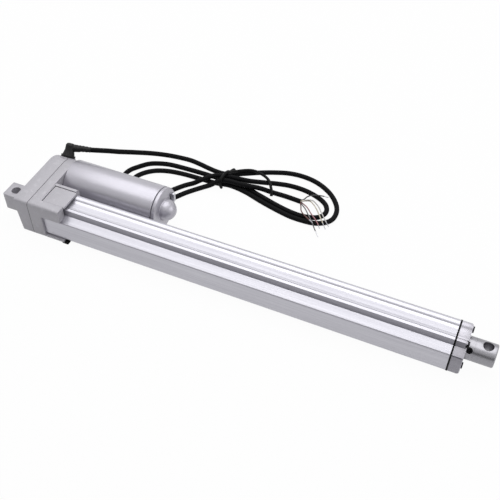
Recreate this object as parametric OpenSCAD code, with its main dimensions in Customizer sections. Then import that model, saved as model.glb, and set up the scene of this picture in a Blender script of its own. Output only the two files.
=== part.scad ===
// Linear actuator: parallel motor, die-cast gearbox, extruded tube and sliding rod.
// Units are millimetres. Origin: rear mounting hole, on the screw axis. +X runs
// along the rod, +Y towards the motor, +Z along the mounting holes.
// It lies on a surface at the housing's underside, 20 below the axis. The rod is shown fully retracted.

/* [Overall] */
// Retracted length from hole to hole, less the travel
dead_length = 105; // [104:1:125]
// Travel of the rod
stroke = 350; // [100:10:350]
// Mounting hole diameter at both ends
pin_hole_d = 9; // [8:0.5:10]
// Gap between parts that are fitted together
seat_gap = 0.02; // [0.01:0.01:0.05]
// Radial running clearance of shafts and sliding rod
run_gap = 0.05; // [0.02:0.01:0.1]
// Gap between parts that do not touch
free_gap = 0.4; // [0.3:0.1:1]

/* [Rear housing] */
// Width and thickness of the square lug
lug_w = 18; // [16:1:20]
// Lug end, behind the rear hole
lug_end = 9.2; // [8:0.1:10]
// Rounding of the lug's edges
lug_round = 1.2; // [0.5:0.1:2]
// Wall of the housing under the tube; it sets the housing's height
cradle_wall = 2.5; // [2:0.1:4]
// Corner radius of the housing outline
housing_round = 3; // [1:0.5:5]
// Housing rear face at the top
rear_top_x = 13; // [11:0.5:14]
// Housing rear face at the bottom
rear_low_x = 16.5; // [13:0.5:17]
// Rear end of the gear space
cavity_x = 18.5; // [18:0.1:19]
// Joint between the two housing halves
seam_x = 28; // [27:0.5:30]
// Thickness of the paper gasket in the joint
paper_t = 0.5; // [0.3:0.1:1]
// Wall around the gear space
housing_wall = 3; // [2:0.5:4]
// Radius of the motor end of the housing
shell_r = 20.5; // [19:0.5:22]
// Height of the motor end's centre
shell_z = 0.5; // [0:0.5:2]

/* [Gearbox housing] */
// Front face of the bulkhead, where the motor sits
block_x = 38; // [36:0.5:40]
// End of the cradle that holds the tube
cradle_x = 62; // [58:1:66]
// Back side of the cradle
cradle_y = 16.5; // [15:0.5:18]
// Window in the cradle's front: start
window_x = 41.5; // [40:0.5:45]
// Window top edge
window_top = 7; // [5:0.5:9]
// Window bottom edge
window_low = 16; // [14:0.5:17]
// Half length of the cover plate across the tube
plate_y = 11; // [9:0.5:12]
// Gap round the cover plate
plate_gap = 1; // [0.5:0.1:1.5]
// Front end of the cover plate
plate_x = 63.5; // [62:0.5:65]
// Gap between the cover plate and the tube's lobe
plate_lift = 0.1; // [0.05:0.05:0.3]
// Corner radius of the cover plate
plate_round = 1; // [0.5:0.5:2]

/* [Screws] */
// Diameter of the housing and end cap screws
screw_m = 4; // [3:0.5:5]
// Clearance round a screw shank
screw_gap = 0.1; // [0.05:0.05:0.3]
// Screw head diameter
head_d = 7; // [6:0.5:8]
// Screw head height
head_h = 3.6; // [2:0.2:4]
// Socket width across the head
socket_d = 3; // [2:0.5:4]
// Socket depth
socket_h = 2; // [1:0.5:3]
// End cap screw diameter
cap_m = 3; // [2.5:0.5:4]
// End cap screw head diameter
cap_head_d = 5.5; // [5:0.5:7]
// End cap screw head height
cap_head_h = 2.6; // [2:0.2:4]
// Part of an end cap screw head that stands proud
cap_proud = 1.2; // [0.4:0.1:1.6]
// Depth of the screws in the tube wall
cap_screw_l = 14; // [10:1:20]
// Length of the housing screws past the bulkhead joint
body_screw_l = 8; // [6:1:9]
// Housing screws: offset from the screw axis
body_screw_y = 15.5; // [15:0.1:16]
// Housing screws: position beside the motor
body_screw_y2 = 40; // [38:0.5:42]
// Housing screws beside the motor: height
body_screw_z2 = 15.8; // [15:0.1:17]
// Radius of the pillars round the screws
pillar_r = 4; // [3.5:0.5:5]

/* [Gears] */
// Gear module
gear_m = 1; // [1:0.25:1.5]
// Teeth on the motor pinion
pinion_n = 13; // [11:1:15]
// Teeth on the large idler wheel
idler_big_n = 27; // [25:1:31]
// Teeth on the small idler wheel
idler_small_n = 14; // [12:1:16]
// Teeth on the screw gear
screw_n = 30; // [28:1:32]
// Backlash at the pitch circle
backlash = 0.3; // [0.1:0.05:0.5]
// Start of the rear gear plane
gear_a_x = 19.2; // [19:0.1:20]
// Width of the rear gear plane
gear_a_w = 4; // [3:0.5:5]
// Start of the front gear plane
gear_b_x = 24; // [23.5:0.1:25]
// Width of the front gear plane
gear_b_w = 4.6; // [4:0.1:5]
// Depth of the gear recess in the bulkhead
recess_h = 1.2; // [1:0.1:2]
// Depth of the idler pin's seat in the bulkhead
idler_seat = 4.8; // [4:0.1:6]
// Idler pin diameter
idler_pin_d = 5; // [4:0.5:6]

/* [Motor] */
// Motor axis beside the screw axis
motor_y = 41.5; // [40:0.1:43]
// Motor axis height
motor_z = 1.5; // [0:0.1:2]
// Motor can diameter
motor_d = 43; // [38:0.5:45]
// Can wall
can_wall = 1.8; // [1.2:0.1:2.5]
// End of the rolled can
can_x = 134.2; // [120:0.1:140]
// Flat end face of the motor
motor_end_x = 138.5; // [125:0.5:145]
// Radius of the bearing dome
dome_r = 11; // [8:0.1:12]
// How far the dome stands out
dome_h = 12; // [9:0.5:13]
// Motor shaft diameter
shaft_d = 5; // [4:0.5:6]
// Armature diameter
armature_d = 30; // [26:0.5:32]
// Armature start
armature_x = 58; // [54:1:62]
// Armature end
armature_end_x = 104; // [98:1:108]
// Slots in the armature
armature_slots = 8; // [5:1:12]
// Magnet thickness
magnet_t = 3.4; // [3:0.1:4.5]
// Angle of each magnet
magnet_angle = 130; // [100:5:150]
// Commutator diameter
commutator_d = 14; // [12:0.5:16]
// Commutator length
commutator_l = 10; // [8:0.5:12]
// Motor bearing outside diameter
motor_bearing_d = 13; // [12:0.5:14]
// Motor bearing width
motor_bearing_w = 4; // [3:0.5:5]
// Motor fixing screw diameter
motor_m = 3; // [2.5:0.5:4]
// Motor fixing screw offset
motor_screw_r = 14; // [13:0.5:15]
// Angle of the motor fixing screws
motor_screw_angle = 45; // [30:5:60]
// Height of the terminal clip on the motor end
clip_h = 9; // [6:0.5:12]
// Width of the terminal clip
clip_w = 3; // [2:0.5:5]

/* [Tube] */
// Rear end of the tube
tube_x = 39.5; // [39:0.1:41]
// Front end of the tube, behind the rod-end hole
tube_room = 26.4; // [25:0.1:35]
// Room between the rod and the tube's bore
rod_room = 2; // [1.5:0.1:2.5]
// Front side of the tube
tube_front = 18; // [17:0.5:19]
// Back side of the tube
tube_back = 14; // [13:0.5:16]
// Underside of the tube
tube_low = 17.5; // [16:0.5:19]
// Top of the ridge
tube_top = 16; // [15:0.5:17]
// Lower corner radius
tube_round = 4; // [3:0.5:5]
// Radius of the top rear lobe
lobe_r = 4.6; // [4:0.1:5]
// Lobe centre beside the axis
lobe_y = 8.7; // [8:0.1:10]
// Lobe centre above the axis
lobe_z = 13; // [12:0.1:14]
// Outer edge of the front ledge
ledge_low = 5.3; // [4:0.1:7]
// Inner edge of the ledge: height
ledge_top = 9.5; // [8:0.1:11]
// Inner edge of the ledge: distance from the axis
ledge_y = 10.4; // [10:0.1:11]
// Front of the ridge
ridge_y = 9.8; // [9:0.1:10.2]
// Back of the ridge
ridge_back = 7; // [6.5:0.1:7.5]
// Depth of the fine line beside the ridge
line_d = 0.7; // [0.4:0.1:1]
// Depth of the hollow between ridge and lobe
hollow_d = 1.4; // [1:0.1:2]
// Depth of the switch channel in front of the bore
channel_y = 16.2; // [15.5:0.1:16.5]
// Lower side of the switch channel
channel_low = 8; // [7:0.5:9]
// Tube fixing screws: first position
tube_screw_x = 46; // [44:1:48]
// Tube fixing screws: spacing
tube_screw_gap = 11; // [8:1:14]
// Depth of the tube fixing screws
tube_screw_l = 6; // [5:0.5:7]

/* [End cap] */
// Thickness of the black tube gasket
gasket_t = 1.4; // [0.6:0.1:1.5]
// How far the gasket stands out
gasket_lip = 0.3; // [0.1:0.1:0.5]
// Thickness of the end cap
cap_t = 9.4; // [8:0.1:12]
// Rounding of the end cap's front edge
cap_round = 1.6; // [0.5:0.1:2]
// Width of the rod seal
seal_w = 4; // [3:0.5:6]
// Wall of the rod seal
seal_wall = 2.4; // [2:0.1:2.5]
// Length of the guide bush
bush_l = 7; // [5:0.5:9]

/* [Rod] */
// Rod diameter
rod_d = 20; // [18:0.5:20]
// Bore of the rod
rod_bore = 15; // [13:0.5:16]
// Joint between rod tube and rod end, behind the rod-end hole
joint_room = 10; // [8:0.5:11]
// Tip of the rod, past its hole
rod_tip = 7.8; // [7:0.1:10]
// Chamfer at the rod tip
rod_chamfer = 0.8; // [0.4:0.1:1.5]
// Length of the plug inside the rod
plug_l = 12; // [8:1:15]
// Width of the ring line at the joint
ring_w = 0.5; // [0.3:0.1:1]
// Set screw diameter
set_d = 5.4; // [4:0.2:6]
// Set screw, behind the joint
set_room = 3.2; // [2.8:0.1:3.4]
// Set screw angle round the rod
set_angle = 142; // [130:1:150]
// How deep the set screw sits
set_sink = 1; // [0.5:0.1:2]

/* [Lead screw and nut] */
// Lead screw outside diameter
lead_d = 12; // [11:0.5:13]
// Lead screw pitch
lead_pitch = 4; // [3:1:8]
// Lead screw thread depth
lead_depth = 1; // [0.5:0.1:1.5]
// Grooves drawn at the front end
lead_grooves = 8; // [4:1:12]
// Front end of the lead screw, behind the tube's end
lead_room = 10.6; // [8:0.1:16]
// Tail diameter
tail_d = 10; // [9:0.5:11]
// Start of the tail
tail_x = 13.6; // [13:0.1:15]
// Rear end of the drive nut
nut_x = 44; // [43:0.5:46]
// Nut collar length
nut_l = 16; // [12:1:18]
// Nut plug inside the rod
nut_plug = 12; // [8:1:14]
// Length of the nut's key
key_l = 10; // [8:1:12]
// Tip of the nut's key
key_y = 13; // [12.5:0.1:13.2]
// Screw bearing outside diameter
bearing_d = 28; // [26:1:30]
// Screw bearing width
bearing_w = 7; // [6:0.5:8]
// Balls in the screw bearing
ball_n = 9; // [7:1:11]
// Ball diameter
ball_d = 4; // [3.5:0.5:4.5]

/* [Switches] */
// Thickness of the switch strip
strip_t = 0.8; // [0.6:0.1:1.2]
// Length of a switch body
switch_l = 9; // [7:0.5:10]
// Rear switch start
switch_a_x = 40; // [39.8:0.1:41]
// Front switch start, behind the tube's end
switch_room = 17.6; // [17:0.1:20]
// Height of a switch body
switch_h = 6.4; // [5:0.2:7]
// Thickness of a switch body
switch_t = 2.4; // [2:0.1:2.6]

/* [Cable] */
// Gland centre along the actuator
gland_x = 24.4; // [24:0.1:26]
// Direction of the gland round the motor end, up from the side
gland_angle = 50; // [40:1:60]
// Seat of the gland, from the centre of the motor end
gland_seat = 21; // [20.8:0.1:22]
// Gland flange diameter
gland_flange_d = 14; // [12:0.5:15]
// Gland flange thickness
gland_flange_t = 2.2; // [1:0.1:3]
// Gland body diameter
gland_d = 9.4; // [8:0.2:11]
// Height of the cable above the seat
gland_h = 9.4; // [8:0.2:12]
// Height of the cone between the flange and the body
cone_h = 5; // [3:0.5:6]
// Turn of the cable exit round the gland
exit_turn = 20; // [0:5:40]
// Tilt of the cable exit away from the housing
exit_lift = 10; // [0:5:15]
// Stem diameter
stem_d = 7; // [6:0.5:8]
// Stem length
stem_l = 4; // [3:0.5:5]
// Boss radius under the gland
boss_r = 7.6; // [7:0.2:9]
// Cable diameter
cord_d = 5; // [4:0.1:6]
// Wire diameter
wire_d = 1.2; // [0.8:0.1:1.6]
// Tie diameter
tie_d = 3; // [2:0.1:3]

/* [Hidden] */
fine = 64;
mid = 40;
rough = 24;
half = 2;
eps = 0.01;
through = 2;
hole_to_hole = stroke + dead_length;
tube_end_x = hole_to_hole - tube_room;
rod_joint_x = hole_to_hole - joint_room;
set_x = rod_joint_x - set_room;
lead_end_x = tube_end_x - lead_room;
switch_b_x = tube_end_x - switch_room;
housing_h = half * (tube_low + cradle_wall);
plate_t = housing_h / half - lobe_z - lobe_r - plate_lift;
floor_z = -housing_h / half;
block_x0 = seam_x + paper_t;
motor_face = block_x + free_gap;
motor_r = motor_d / half;
magnet_r = motor_r - can_wall - seat_gap;
rod_tip_x = hole_to_hole + rod_tip;
rod_r = rod_d / half;
bore_r = rod_r + rod_room;
seal_r = rod_r + seal_wall;
cap_x0 = tube_end_x + gasket_t;
cap_x = cap_x0 + cap_t;
bearing_x = block_x - bearing_w - seat_gap;
race_mid = (bearing_d + lead_d) / half / half;
gap_a = gear_m * (pinion_n + idler_big_n) / half;
gap_b = gear_m * (idler_small_n + screw_n) / half;
axis_gap = sqrt(motor_y * motor_y + motor_z * motor_z);
axis_angle = atan2(motor_z, motor_y);
idler_angle = acos((gap_b * gap_b + axis_gap * axis_gap - gap_a * gap_a)
  / (half * gap_b * axis_gap));
idler_dir = axis_angle - idler_angle;
idler_y = gap_b * cos(idler_dir);
idler_z = gap_b * sin(idler_dir);
pinion_dir = atan2(motor_z - idler_z, motor_y - idler_y);
half_turn = 180;
full_turn = 360;
right = 90;
motor_screws_at = [for (a = [motor_screw_angle, motor_screw_angle + half_turn])
  [motor_y + motor_screw_r * cos(a), motor_z + motor_screw_r * sin(a)]];
body_screws = [[-body_screw_y, body_screw_y], [-body_screw_y, -body_screw_y],
  [body_screw_y2, body_screw_z2], [body_screw_y2, -body_screw_z2]];
cap_low_y = 9.5;
cap_land = 0.9;
front_screw_r = bore_r + cap_land + cap_m / half + screw_gap;
front_screw_angle = 121.5;
cap_screws = [[lobe_y, lobe_z - run_gap], [lobe_y, -lobe_z], [-cap_low_y, -lobe_z],
  front_screw_r * [cos(front_screw_angle), sin(front_screw_angle)]];

// Cable route: gland, hank beside the motor, loose end
cord_pts = [
  [29, 63, 23.5], [35.5, 65.5, 23], [43, 68.5, 22], [50.5, 73.5, 20], [56.5, 80, 16.5],
  [62.5, 88, 11.5], [69, 97.5, 6], [75, 106, 1], [81.5, 114.5, -4], [89, 122, -8.5],
  [98, 129, -13], [107.5, 134.5, -17], [118, 135.5, -17.5], [129.5, 134, -17.5],
  [139.5, 132, -17.5], [149.5, 130.5, -17.5], [158.5, 130.5, -17.5], [166.5, 133, -17.5],
  [179.5, 140, -17.5], [192, 147, -17.5], [206, 153.5, -17.5], [221, 158.5, -17.5],
  [237, 159.5, -17.5], [253, 156, -17.5], [268, 147.5, -17.5], [278.5, 136.5, -17.5],
  [284, 125.5, -17.5], [284.5, 114, -17.5], [280, 106, -17.5], [270.5, 100.5, -17.5],
  [258.5, 99, -17.5], [244.5, 99.5, -17.5], [227.5, 103, -17.5], [209, 108, -17.5],
  [190, 114, -17.5], [172, 116.5, -17.5], [156.5, 114, -17.5], [139.5, 113.5, -17.5],
  [121, 113, -17.5], [106, 111, -17.5], [94, 107, -17.5], [86, 101.5, -17.5], [80.5, 95, -17.5],
  [77.5, 87.5, -17.5], [79.5, 79.5, -17.5], [86.5, 74, -17.5], [95, 72.5, -17.5],
  [104, 73.5, -17.5], [112, 77, -17.5], [119, 83, -17.5], [124, 90, -17.5], [130, 98, -17.5],
  [137, 104.5, -17], [145, 109.5, -13], [152, 116, -11.5], [160, 121, -12], [169, 123, -12],
  [179, 125.5, -13.5], [188.5, 130, -16.5], [201, 134.5, -17.5], [215, 138.5, -17.5],
  [229, 141, -17.5], [244.5, 140.5, -17.5], [259, 136.5, -17.5], [270.5, 129.5, -17.5],
  [275, 119.5, -17.5], [270.5, 109.5, -17.5], [257.5, 105, -17.5], [242.5, 105.5, -17.5],
  [224.5, 109.5, -17.5], [206, 115, -17.5], [187, 120.5, -17.5], [169, 123, -17.5],
  [152.5, 122, -17.5], [135, 122, -17.5], [116.5, 121.5, -17.5], [101, 120.5, -17.5],
  [88.5, 117, -17.5], [79.5, 112, -17.5], [72, 103.5, -17.5], [67, 96, -17.5], [65.5, 87, -17.5],
  [69, 78, -17.5], [76.5, 71, -17.5], [86, 66.5, -17.5], [97, 64.5, -17.5], [108, 65, -17.5],
  [118, 68, -17.5], [125, 73, -17.5], [130, 79.5, -17.5], [135.5, 88, -17.5], [141.5, 95.5, -17.5],
  [148, 103, -17.5], [154.5, 108, -16], [161.5, 112.5, -12], [170, 116, -11.5], [181, 117, -12],
  [191.5, 118, -12], [203.5, 120.5, -13], [215.5, 124, -17], [230.5, 124.5, -17.5],
  [246.5, 123.5, -17.5]];
// Bare wires: each starts inside the sleeve's end and fans out over the surface
wire_paths = [
  [[246.8, 124.2, -16.3], [248.6, 127.9, -17.2], [250.8, 129.8, -15], [253.7, 131.7, -13.6],
   [258.8, 133.4, -12.6], [264.1, 136.9, -14.6], [269.3, 141.6, -18.8]],
  [[246.7, 122.1, -17.5], [249.3, 117.3, -17.8], [252.5, 109.4, -15.4], [257.8, 103, -13.2],
   [263.1, 99, -12.2], [269.5, 94.7, -11.4]],
  [[246.8, 122.8, -18.7], [254, 116, -17.4], [259.4, 107.9, -14.2], [264, 102, -13.4],
   [268.7, 96.3, -13.2], [272.7, 92.7, -16.6], [279.2, 85.9, -19.2]],
  [[246.8, 124.2, -18.7], [255.5, 117.7, -16.8], [263.4, 107.7, -13.6], [269.2, 102.3, -13.2],
   [273.9, 97.4, -13.2], [277.2, 95, -17]],
  [[246.8, 122.8, -16.3], [255, 125.3, -15], [260.9, 120.5, -13], [266.5, 114.4, -12],
   [271.5, 108, -12], [276.1, 102.5, -12.8], [282.4, 97.5, -18.4]],
  [[246.9, 124.9, -17.5], [253.7, 124.7, -13.6], [259, 124.6, -12.6], [266.5, 118.4, -11.4],
   [273.2, 110.5, -11.6], [278.8, 104.6, -12.8], [284.3, 101.2, -17.6]]];
tie_paths = [
  [[165, 110.8, -18.2], [164.6, 109.2, -14], [164.6, 109.6, -9.4], [164.8, 113, -6.6], [165, 118.5, -6.9],
   [165.2, 123, -7.2], [165.6, 127, -9.2], [166, 129.6, -11.6], [166.4, 133, -12.6],
   [166.8, 137.6, -14.6], [167, 138.8, -18.2]],
  [[165, 121, -7], [166.5, 125, -8.2], [168.6, 130, -11], [172, 134.5, -12.5], [177.5, 139, -13],
   [184, 142, -13], [190.5, 142.5, -13], [197.5, 141, -13.5], [204, 137.5, -13], [209.5, 132, -12.5],
   [213.5, 125, -11.5], [216.5, 119.5, -11], [218, 115.6, -14.2]]];

// ---------- helpers ----------
module along_x(x0, x1) translate([x0, 0, 0]) rotate([right, 0, right])
  linear_extrude(x1 - x0) children();
module rod_x(x0, x1, r, y = 0, z = 0, n = fine)
  translate([x0, y, z]) rotate([0, right, 0]) cylinder(h = x1 - x0, r = r, $fn = n);
module ring_x(x0, x1, r1, r0, y = 0, z = 0, n = fine) difference() {
  rod_x(x0, x1, r1, y, z, n);
  rod_x(x0 - through, x1 + through, r0, y, z, n);
}
module box(a, b) translate(a) cube(b - a);
function arc(cy, cz, r, a0, a1, n) =
  [for (i = [0:n]) [cy + r * cos(a0 + (a1 - a0) * i / n), cz + r * sin(a0 + (a1 - a0) * i / n)]];

// Outline of the gearbox end: square tube end joined to the round motor end
module shell_2d(inset = 0) {
  c = housing_h / half - housing_round;
  r = housing_round - inset > 0 ? housing_round - inset : housing_round / half;
  s = inset > 0 ? inset - housing_round + r : 0;
  hull() {
    for (z = [-c + s, c - s]) translate([-c + s, z]) circle(r = r, $fn = 32);
    translate([motor_y, shell_z]) circle(r = shell_r - inset, $fn = fine);
  }
}

// Section of the extruded tube, listed anticlockwise from the lower front corner
corner_n = 6;
lobe_start = 143;
lobe_stop = -8;
lobe_n = 14;
waist_z = 9;
waist_d = 1;
waist_end = 6.5;
ledge_round = 0.6;
function tube_pts() = concat(
  arc(-tube_front + tube_round, -tube_low + tube_round, tube_round, half_turn, half_turn + right,
    corner_n),
  arc(tube_back - tube_round, -tube_low + tube_round, tube_round, -right, 0, corner_n),
  [[tube_back, waist_end], [tube_back - waist_d, waist_z]],
  arc(lobe_y, lobe_z, lobe_r, lobe_stop, lobe_start, lobe_n),
  [[lobe_y - lobe_r - hollow_d, tube_top - hollow_d + line_d / half],
   [-ridge_back / half, tube_top - line_d],
   [-ridge_back + line_d, tube_top - line_d / half],
   [-ridge_back + line_d, tube_top - half * line_d], [-ridge_back, tube_top - half * line_d],
   [-ridge_back, tube_top], [-ridge_y + eps, tube_top],
   [-ridge_y - eps, tube_top - eps], [-ledge_y, ledge_top],
   [-tube_front + ledge_round, ledge_low + ledge_round], [-tube_front, ledge_low]]);
module tube_2d(grow = 0) offset(delta = grow) polygon(tube_pts());

// Gear with straight-flanked teeth; angle turns its first tooth to that direction
addendum = 0.8;
dedendum = 1.2;
flank = 20;
module gear_2d(n, angle) {
  r = gear_m * n / half;
  ra = r + addendum * gear_m;
  rf = r - dedendum * gear_m;
  turn = half_turn / PI;
  w = right / n - backlash / half / r * turn;
  ft = tan(flank) * addendum * gear_m / r * turn;
  fr = tan(flank) * dedendum * gear_m / r * turn;
  polygon([for (i = [0:n - 1]) for (q = [[rf, -w - fr], [r, -w], [ra, ft - w], [ra, w - ft],
    [r, w], [rf, w + fr]]) [q[0] * cos(angle + i * full_turn / n + q[1]),
    q[0] * sin(angle + i * full_turn / n + q[1])]]);
}

// Tube swept along a list of points
function unit(v) = v / norm(v);
function tangent(p, i) = unit(p[min(i + 1, len(p) - 1)] - p[max(i - 1, 0)]);
function side(t) = unit(cross([0, 0, 1], t));
module sweep(p, r, n = 8) {
  m = len(p);
  pts = [for (i = [0:m - 1]) let (t = tangent(p, i), a = side(t), b = cross(t, a))
    for (k = [0:n - 1]) p[i] + r * (cos(full_turn * k / n) * a + sin(full_turn * k / n) * b)];
  faces = concat([[for (k = [0:n - 1]) k]],
    [for (i = [0:m - 2]) for (k = [0:n - 1]) let (a = i * n + k, b = i * n + (k + 1) % n)
      each [[a, a + n, b], [b, a + n, b + n]]],
    [[for (k = [n - 1:-1:0]) (m - 1) * n + k]]);
  polyhedron(pts, faces);
}

// Socket head screw along +X, head's back face at x
module screw_x(x, y, z, d, hd, hh, tip) difference() {
  union() {
    rod_x(x, x + hh, hd / half, y, z, rough);
    rod_x(x + hh - eps, tip, d / half, y, z, rough);
  }
  rod_x(x - through, x + socket_h, socket_d / half, y, z, 6);
}

// ---------- housing ----------
tilt = atan((rear_low_x - rear_top_x) / housing_h);
boss_low = 15;
boss_wall = 2;
module at_gland() translate([gland_x, motor_y, shell_z]) rotate([gland_angle - right, 0, 0])
  children();
module gland_boss(r, top) at_gland() translate([0, 0, boss_low])
  cylinder(h = top - boss_low, r = r, $fn = mid);
module rear_housing() color([0.72, 0.72, 0.74]) difference() {
  union() {
    difference() {
      along_x(rear_top_x, seam_x) shell_2d();
      translate([rear_top_x, 0, -floor_z]) rotate([0, -tilt, 0])
        box([-housing_h, -housing_h, -housing_h * half], [0, housing_h * half, housing_h]);
    }
    lug();
    gland_boss(boss_r, gland_seat);
  }
  difference() {
    along_x(cavity_x, seam_x + through) shell_2d(housing_wall);
    for (s = body_screws) rod_x(cavity_x - through, seam_x + half * through, pillar_r, s[0], s[1],
      rough);
    gland_boss(boss_r - boss_wall, housing_h);
  }
  box([seam_x, -housing_h, -housing_h], [block_x, housing_h * half, housing_h]);
  translate([0, 0, -housing_h]) cylinder(h = housing_h * half, r = pin_hole_d / half, $fn = fine);
  rod_x(tail_x - free_gap, cavity_x + through, tail_d / half + housing_wall - seat_gap);
  rod_x(cavity_x - idler_pin_d / half, cavity_x + through, idler_pin_d / half + seat_gap, idler_y,
    idler_z, rough);
  for (s = body_screws) {
    rod_x(cavity_x - through, seam_x + through, screw_m / half + screw_gap, s[0], s[1], rough);
    rod_x(rear_top_x - through, cavity_x, head_d / half + screw_gap, s[0], s[1], rough);
  }
  gland_hole();
}
module lug() translate([0, 0, -lug_w / half]) linear_extrude(lug_w) hull() {
  for (y = [-lug_w / half + lug_round, lug_w / half - lug_round])
    translate([lug_round - lug_end, y]) circle(r = lug_round, $fn = rough);
  translate([0, -lug_w / half]) square([cavity_x, lug_w]);
}
module gland_hole() at_gland() {
  translate([0, 0, boss_low - through])
    cylinder(h = housing_h, r = stem_d / half + seat_gap, $fn = mid);
  translate([0, 0, gland_seat])
    cylinder(h = housing_h, r = gland_flange_d / half + free_gap, $fn = mid);
}

module gearbox_housing() color([0.74, 0.74, 0.76]) difference() {
  union() {
    along_x(block_x0, block_x) shell_2d();
    cradle();
    gland_boss(boss_r, gland_seat);
  }
  box([gland_x - housing_h, -housing_h, -housing_h], [block_x0, housing_h * half, housing_h]);
  rod_x(block_x0 - through, block_x0 + recess_h, gear_m * screw_n / half + through);
  rod_x(block_x0 - through, block_x0 + recess_h, gear_m * idler_small_n / half + through, idler_y,
    idler_z);
  rod_x(block_x0, block_x + through, lead_d / half + through);
  rod_x(bearing_x, block_x + through, bearing_d / half + seat_gap);
  rod_x(block_x0 - through, block_x0 + idler_seat, idler_pin_d / half + seat_gap, idler_y,
    idler_z, rough);
  rod_x(block_x0 - through, block_x + through, gear_m * pinion_n / half + through, motor_y,
    motor_z);
  for (s = body_screws)
    rod_x(block_x0 - through, block_x0 + body_screw_l + half * free_gap, screw_m / half + screw_gap,
      s[0], s[1], rough);
  for (s = motor_screws_at) {
    rod_x(block_x0 - through, block_x + through, motor_m / half + screw_gap, s[0], s[1], rough);
    rod_x(block_x0 - through, motor_head_x + head_h - seat_gap,
      cap_head_d / half + free_gap, s[0], s[1], rough);
  }
  gland_hole();
}
motor_head_x = block_x0 + recess_h;
tube_stop = 1;
window_depth = 2;
module cradle() difference() {
  along_x(block_x - eps, cradle_x) translate([-housing_h / half, -housing_h / half])
    offset(r = housing_round, $fn = 32) offset(delta = -housing_round)
      square([housing_h / half + cradle_y, housing_h]);
  along_x(tube_x - tube_stop, cradle_x + through) tube_2d(seat_gap);
  // pocket for the cover plate
  box([block_x + plate_gap, -plate_y - eps, 0], [cradle_x + through, plate_y + plate_gap, housing_h]);
  // window and groove in the front
  box([window_x, -housing_h, -window_low], [cradle_x + through, -tube_front + window_depth, window_top]);
  translate([0, 0, -housing_h]) for (i = [0, 1])
    translate([tube_screw_x + i * tube_screw_gap, 0, 0]) cylinder(h = housing_h,
      r = cap_m / half + screw_gap, $fn = rough);
  for (i = [0, 1]) translate([tube_screw_x + i * tube_screw_gap, 0, floor_z - through])
    cylinder(h = through + tube_sink, r = cap_head_d / half + screw_gap, $fn = rough);
}
tube_sink = 1.4;
sink_gap = 0.2;

module housing_gasket() color([0.2, 0.2, 0.2])
  along_x(seam_x + seat_gap, block_x0 - seat_gap) difference() {
    shell_2d(half * run_gap);
    difference() {
      shell_2d(housing_wall);
      for (s = body_screws) translate(s) circle(r = pillar_r, $fn = rough);
    }
    for (s = body_screws) translate(s) circle(r = screw_m / half + screw_gap, $fn = rough);
  }

module housing_screws() color([0.35, 0.35, 0.37]) for (s = body_screws)
  screw_x(cavity_x - head_h, s[0], s[1], screw_m, head_d, head_h, block_x0 + body_screw_l);

module cradle_cover_plate() color([0.75, 0.75, 0.77])
  translate([0, 0, -floor_z - plate_t]) linear_extrude(plate_t)
    translate([block_x + half * plate_gap, -plate_y + seat_gap])
      offset(r = plate_round, $fn = rough) offset(delta = -plate_round)
        square([plate_x - block_x - half * plate_gap, plate_y * half - seat_gap]);

module tube_screws() color([0.35, 0.35, 0.37]) for (i = [0, 1])
  translate([tube_screw_x + i * tube_screw_gap, 0, floor_z + sink_gap])
    difference() {
      union() {
        cylinder(h = tube_sink - sink_gap - seat_gap, r = cap_head_d / half,
          $fn = rough);
        cylinder(h = tube_screw_l, r = cap_m / half, $fn = rough);
      }
      translate([0, 0, -through]) cylinder(h = through + tube_sink / half,
        r = socket_d / half, $fn = 6);
    }

// ---------- tube and end cap ----------
module outer_tube() color([0.8, 0.8, 0.82]) difference() {
  along_x(tube_x, tube_end_x) tube_2d();
  rod_x(tube_x - through, tube_end_x + through, bore_r);
  box([tube_x - through, -channel_y, -channel_low], [tube_end_x + through, 0, 0]);
  for (s = cap_screws) rod_x(tube_end_x - cap_screw_l, tube_end_x + through,
    cap_m / half + screw_gap, s[0], s[1], rough);
  for (i = [0, 1]) translate([tube_screw_x + i * tube_screw_gap, 0, -housing_h])
    cylinder(h = housing_h, r = cap_m / half + screw_gap, $fn = rough);
}

module tube_gasket() color([0.05, 0.05, 0.05]) difference() {
  along_x(tube_end_x + seat_gap, cap_x0 - seat_gap) tube_2d(gasket_lip);
  rod_x(tube_end_x - through, cap_x0 + through, bore_r);
  for (s = cap_screws) rod_x(tube_end_x - through, cap_x0 + through,
    cap_m / half + screw_gap, s[0], s[1], rough);
}

cap_steps = 4;
module front_end_cap() color([0.8, 0.8, 0.82]) difference() {
  union() {
    along_x(cap_x0, cap_x - cap_round) tube_2d();
    for (i = [1:cap_steps]) along_x(cap_x - cap_round - eps, cap_x - cap_round + cap_round
      * sin(right * i / cap_steps)) tube_2d(-cap_round * (1 - cos(right * i / cap_steps)));
  }
  rod_x(cap_x0 - through, cap_x + through, rod_r + free_gap);
  rod_x(cap_x0 - through, cap_x0 + seal_w + seat_gap * half, seal_r + seat_gap);
  for (s = cap_screws) {
    rod_x(cap_x0 - through, cap_x + through, cap_m / half + screw_gap, s[0], s[1], rough);
    rod_x(cap_x + cap_proud - cap_head_h - seat_gap, cap_x + through, cap_head_d / half + screw_gap, s[0],
      s[1], rough);
  }
}

module end_cap_screws() color([0.3, 0.3, 0.32]) for (s = cap_screws) mirror([1, 0, 0])
  screw_x(-cap_x - cap_proud, s[0], s[1], cap_m, cap_head_d, cap_head_h,
    -tube_end_x + cap_screw_l - free_gap);

module guide_bush() color([0.9, 0.88, 0.8])
  ring_x(tube_end_x - bush_l, tube_end_x, bore_r - seat_gap, rod_r + run_gap);

module rod_seal() color([0.1, 0.1, 0.1])
  ring_x(cap_x0 + seat_gap, cap_x0 + seal_w, seal_r, rod_r + run_gap);

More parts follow.
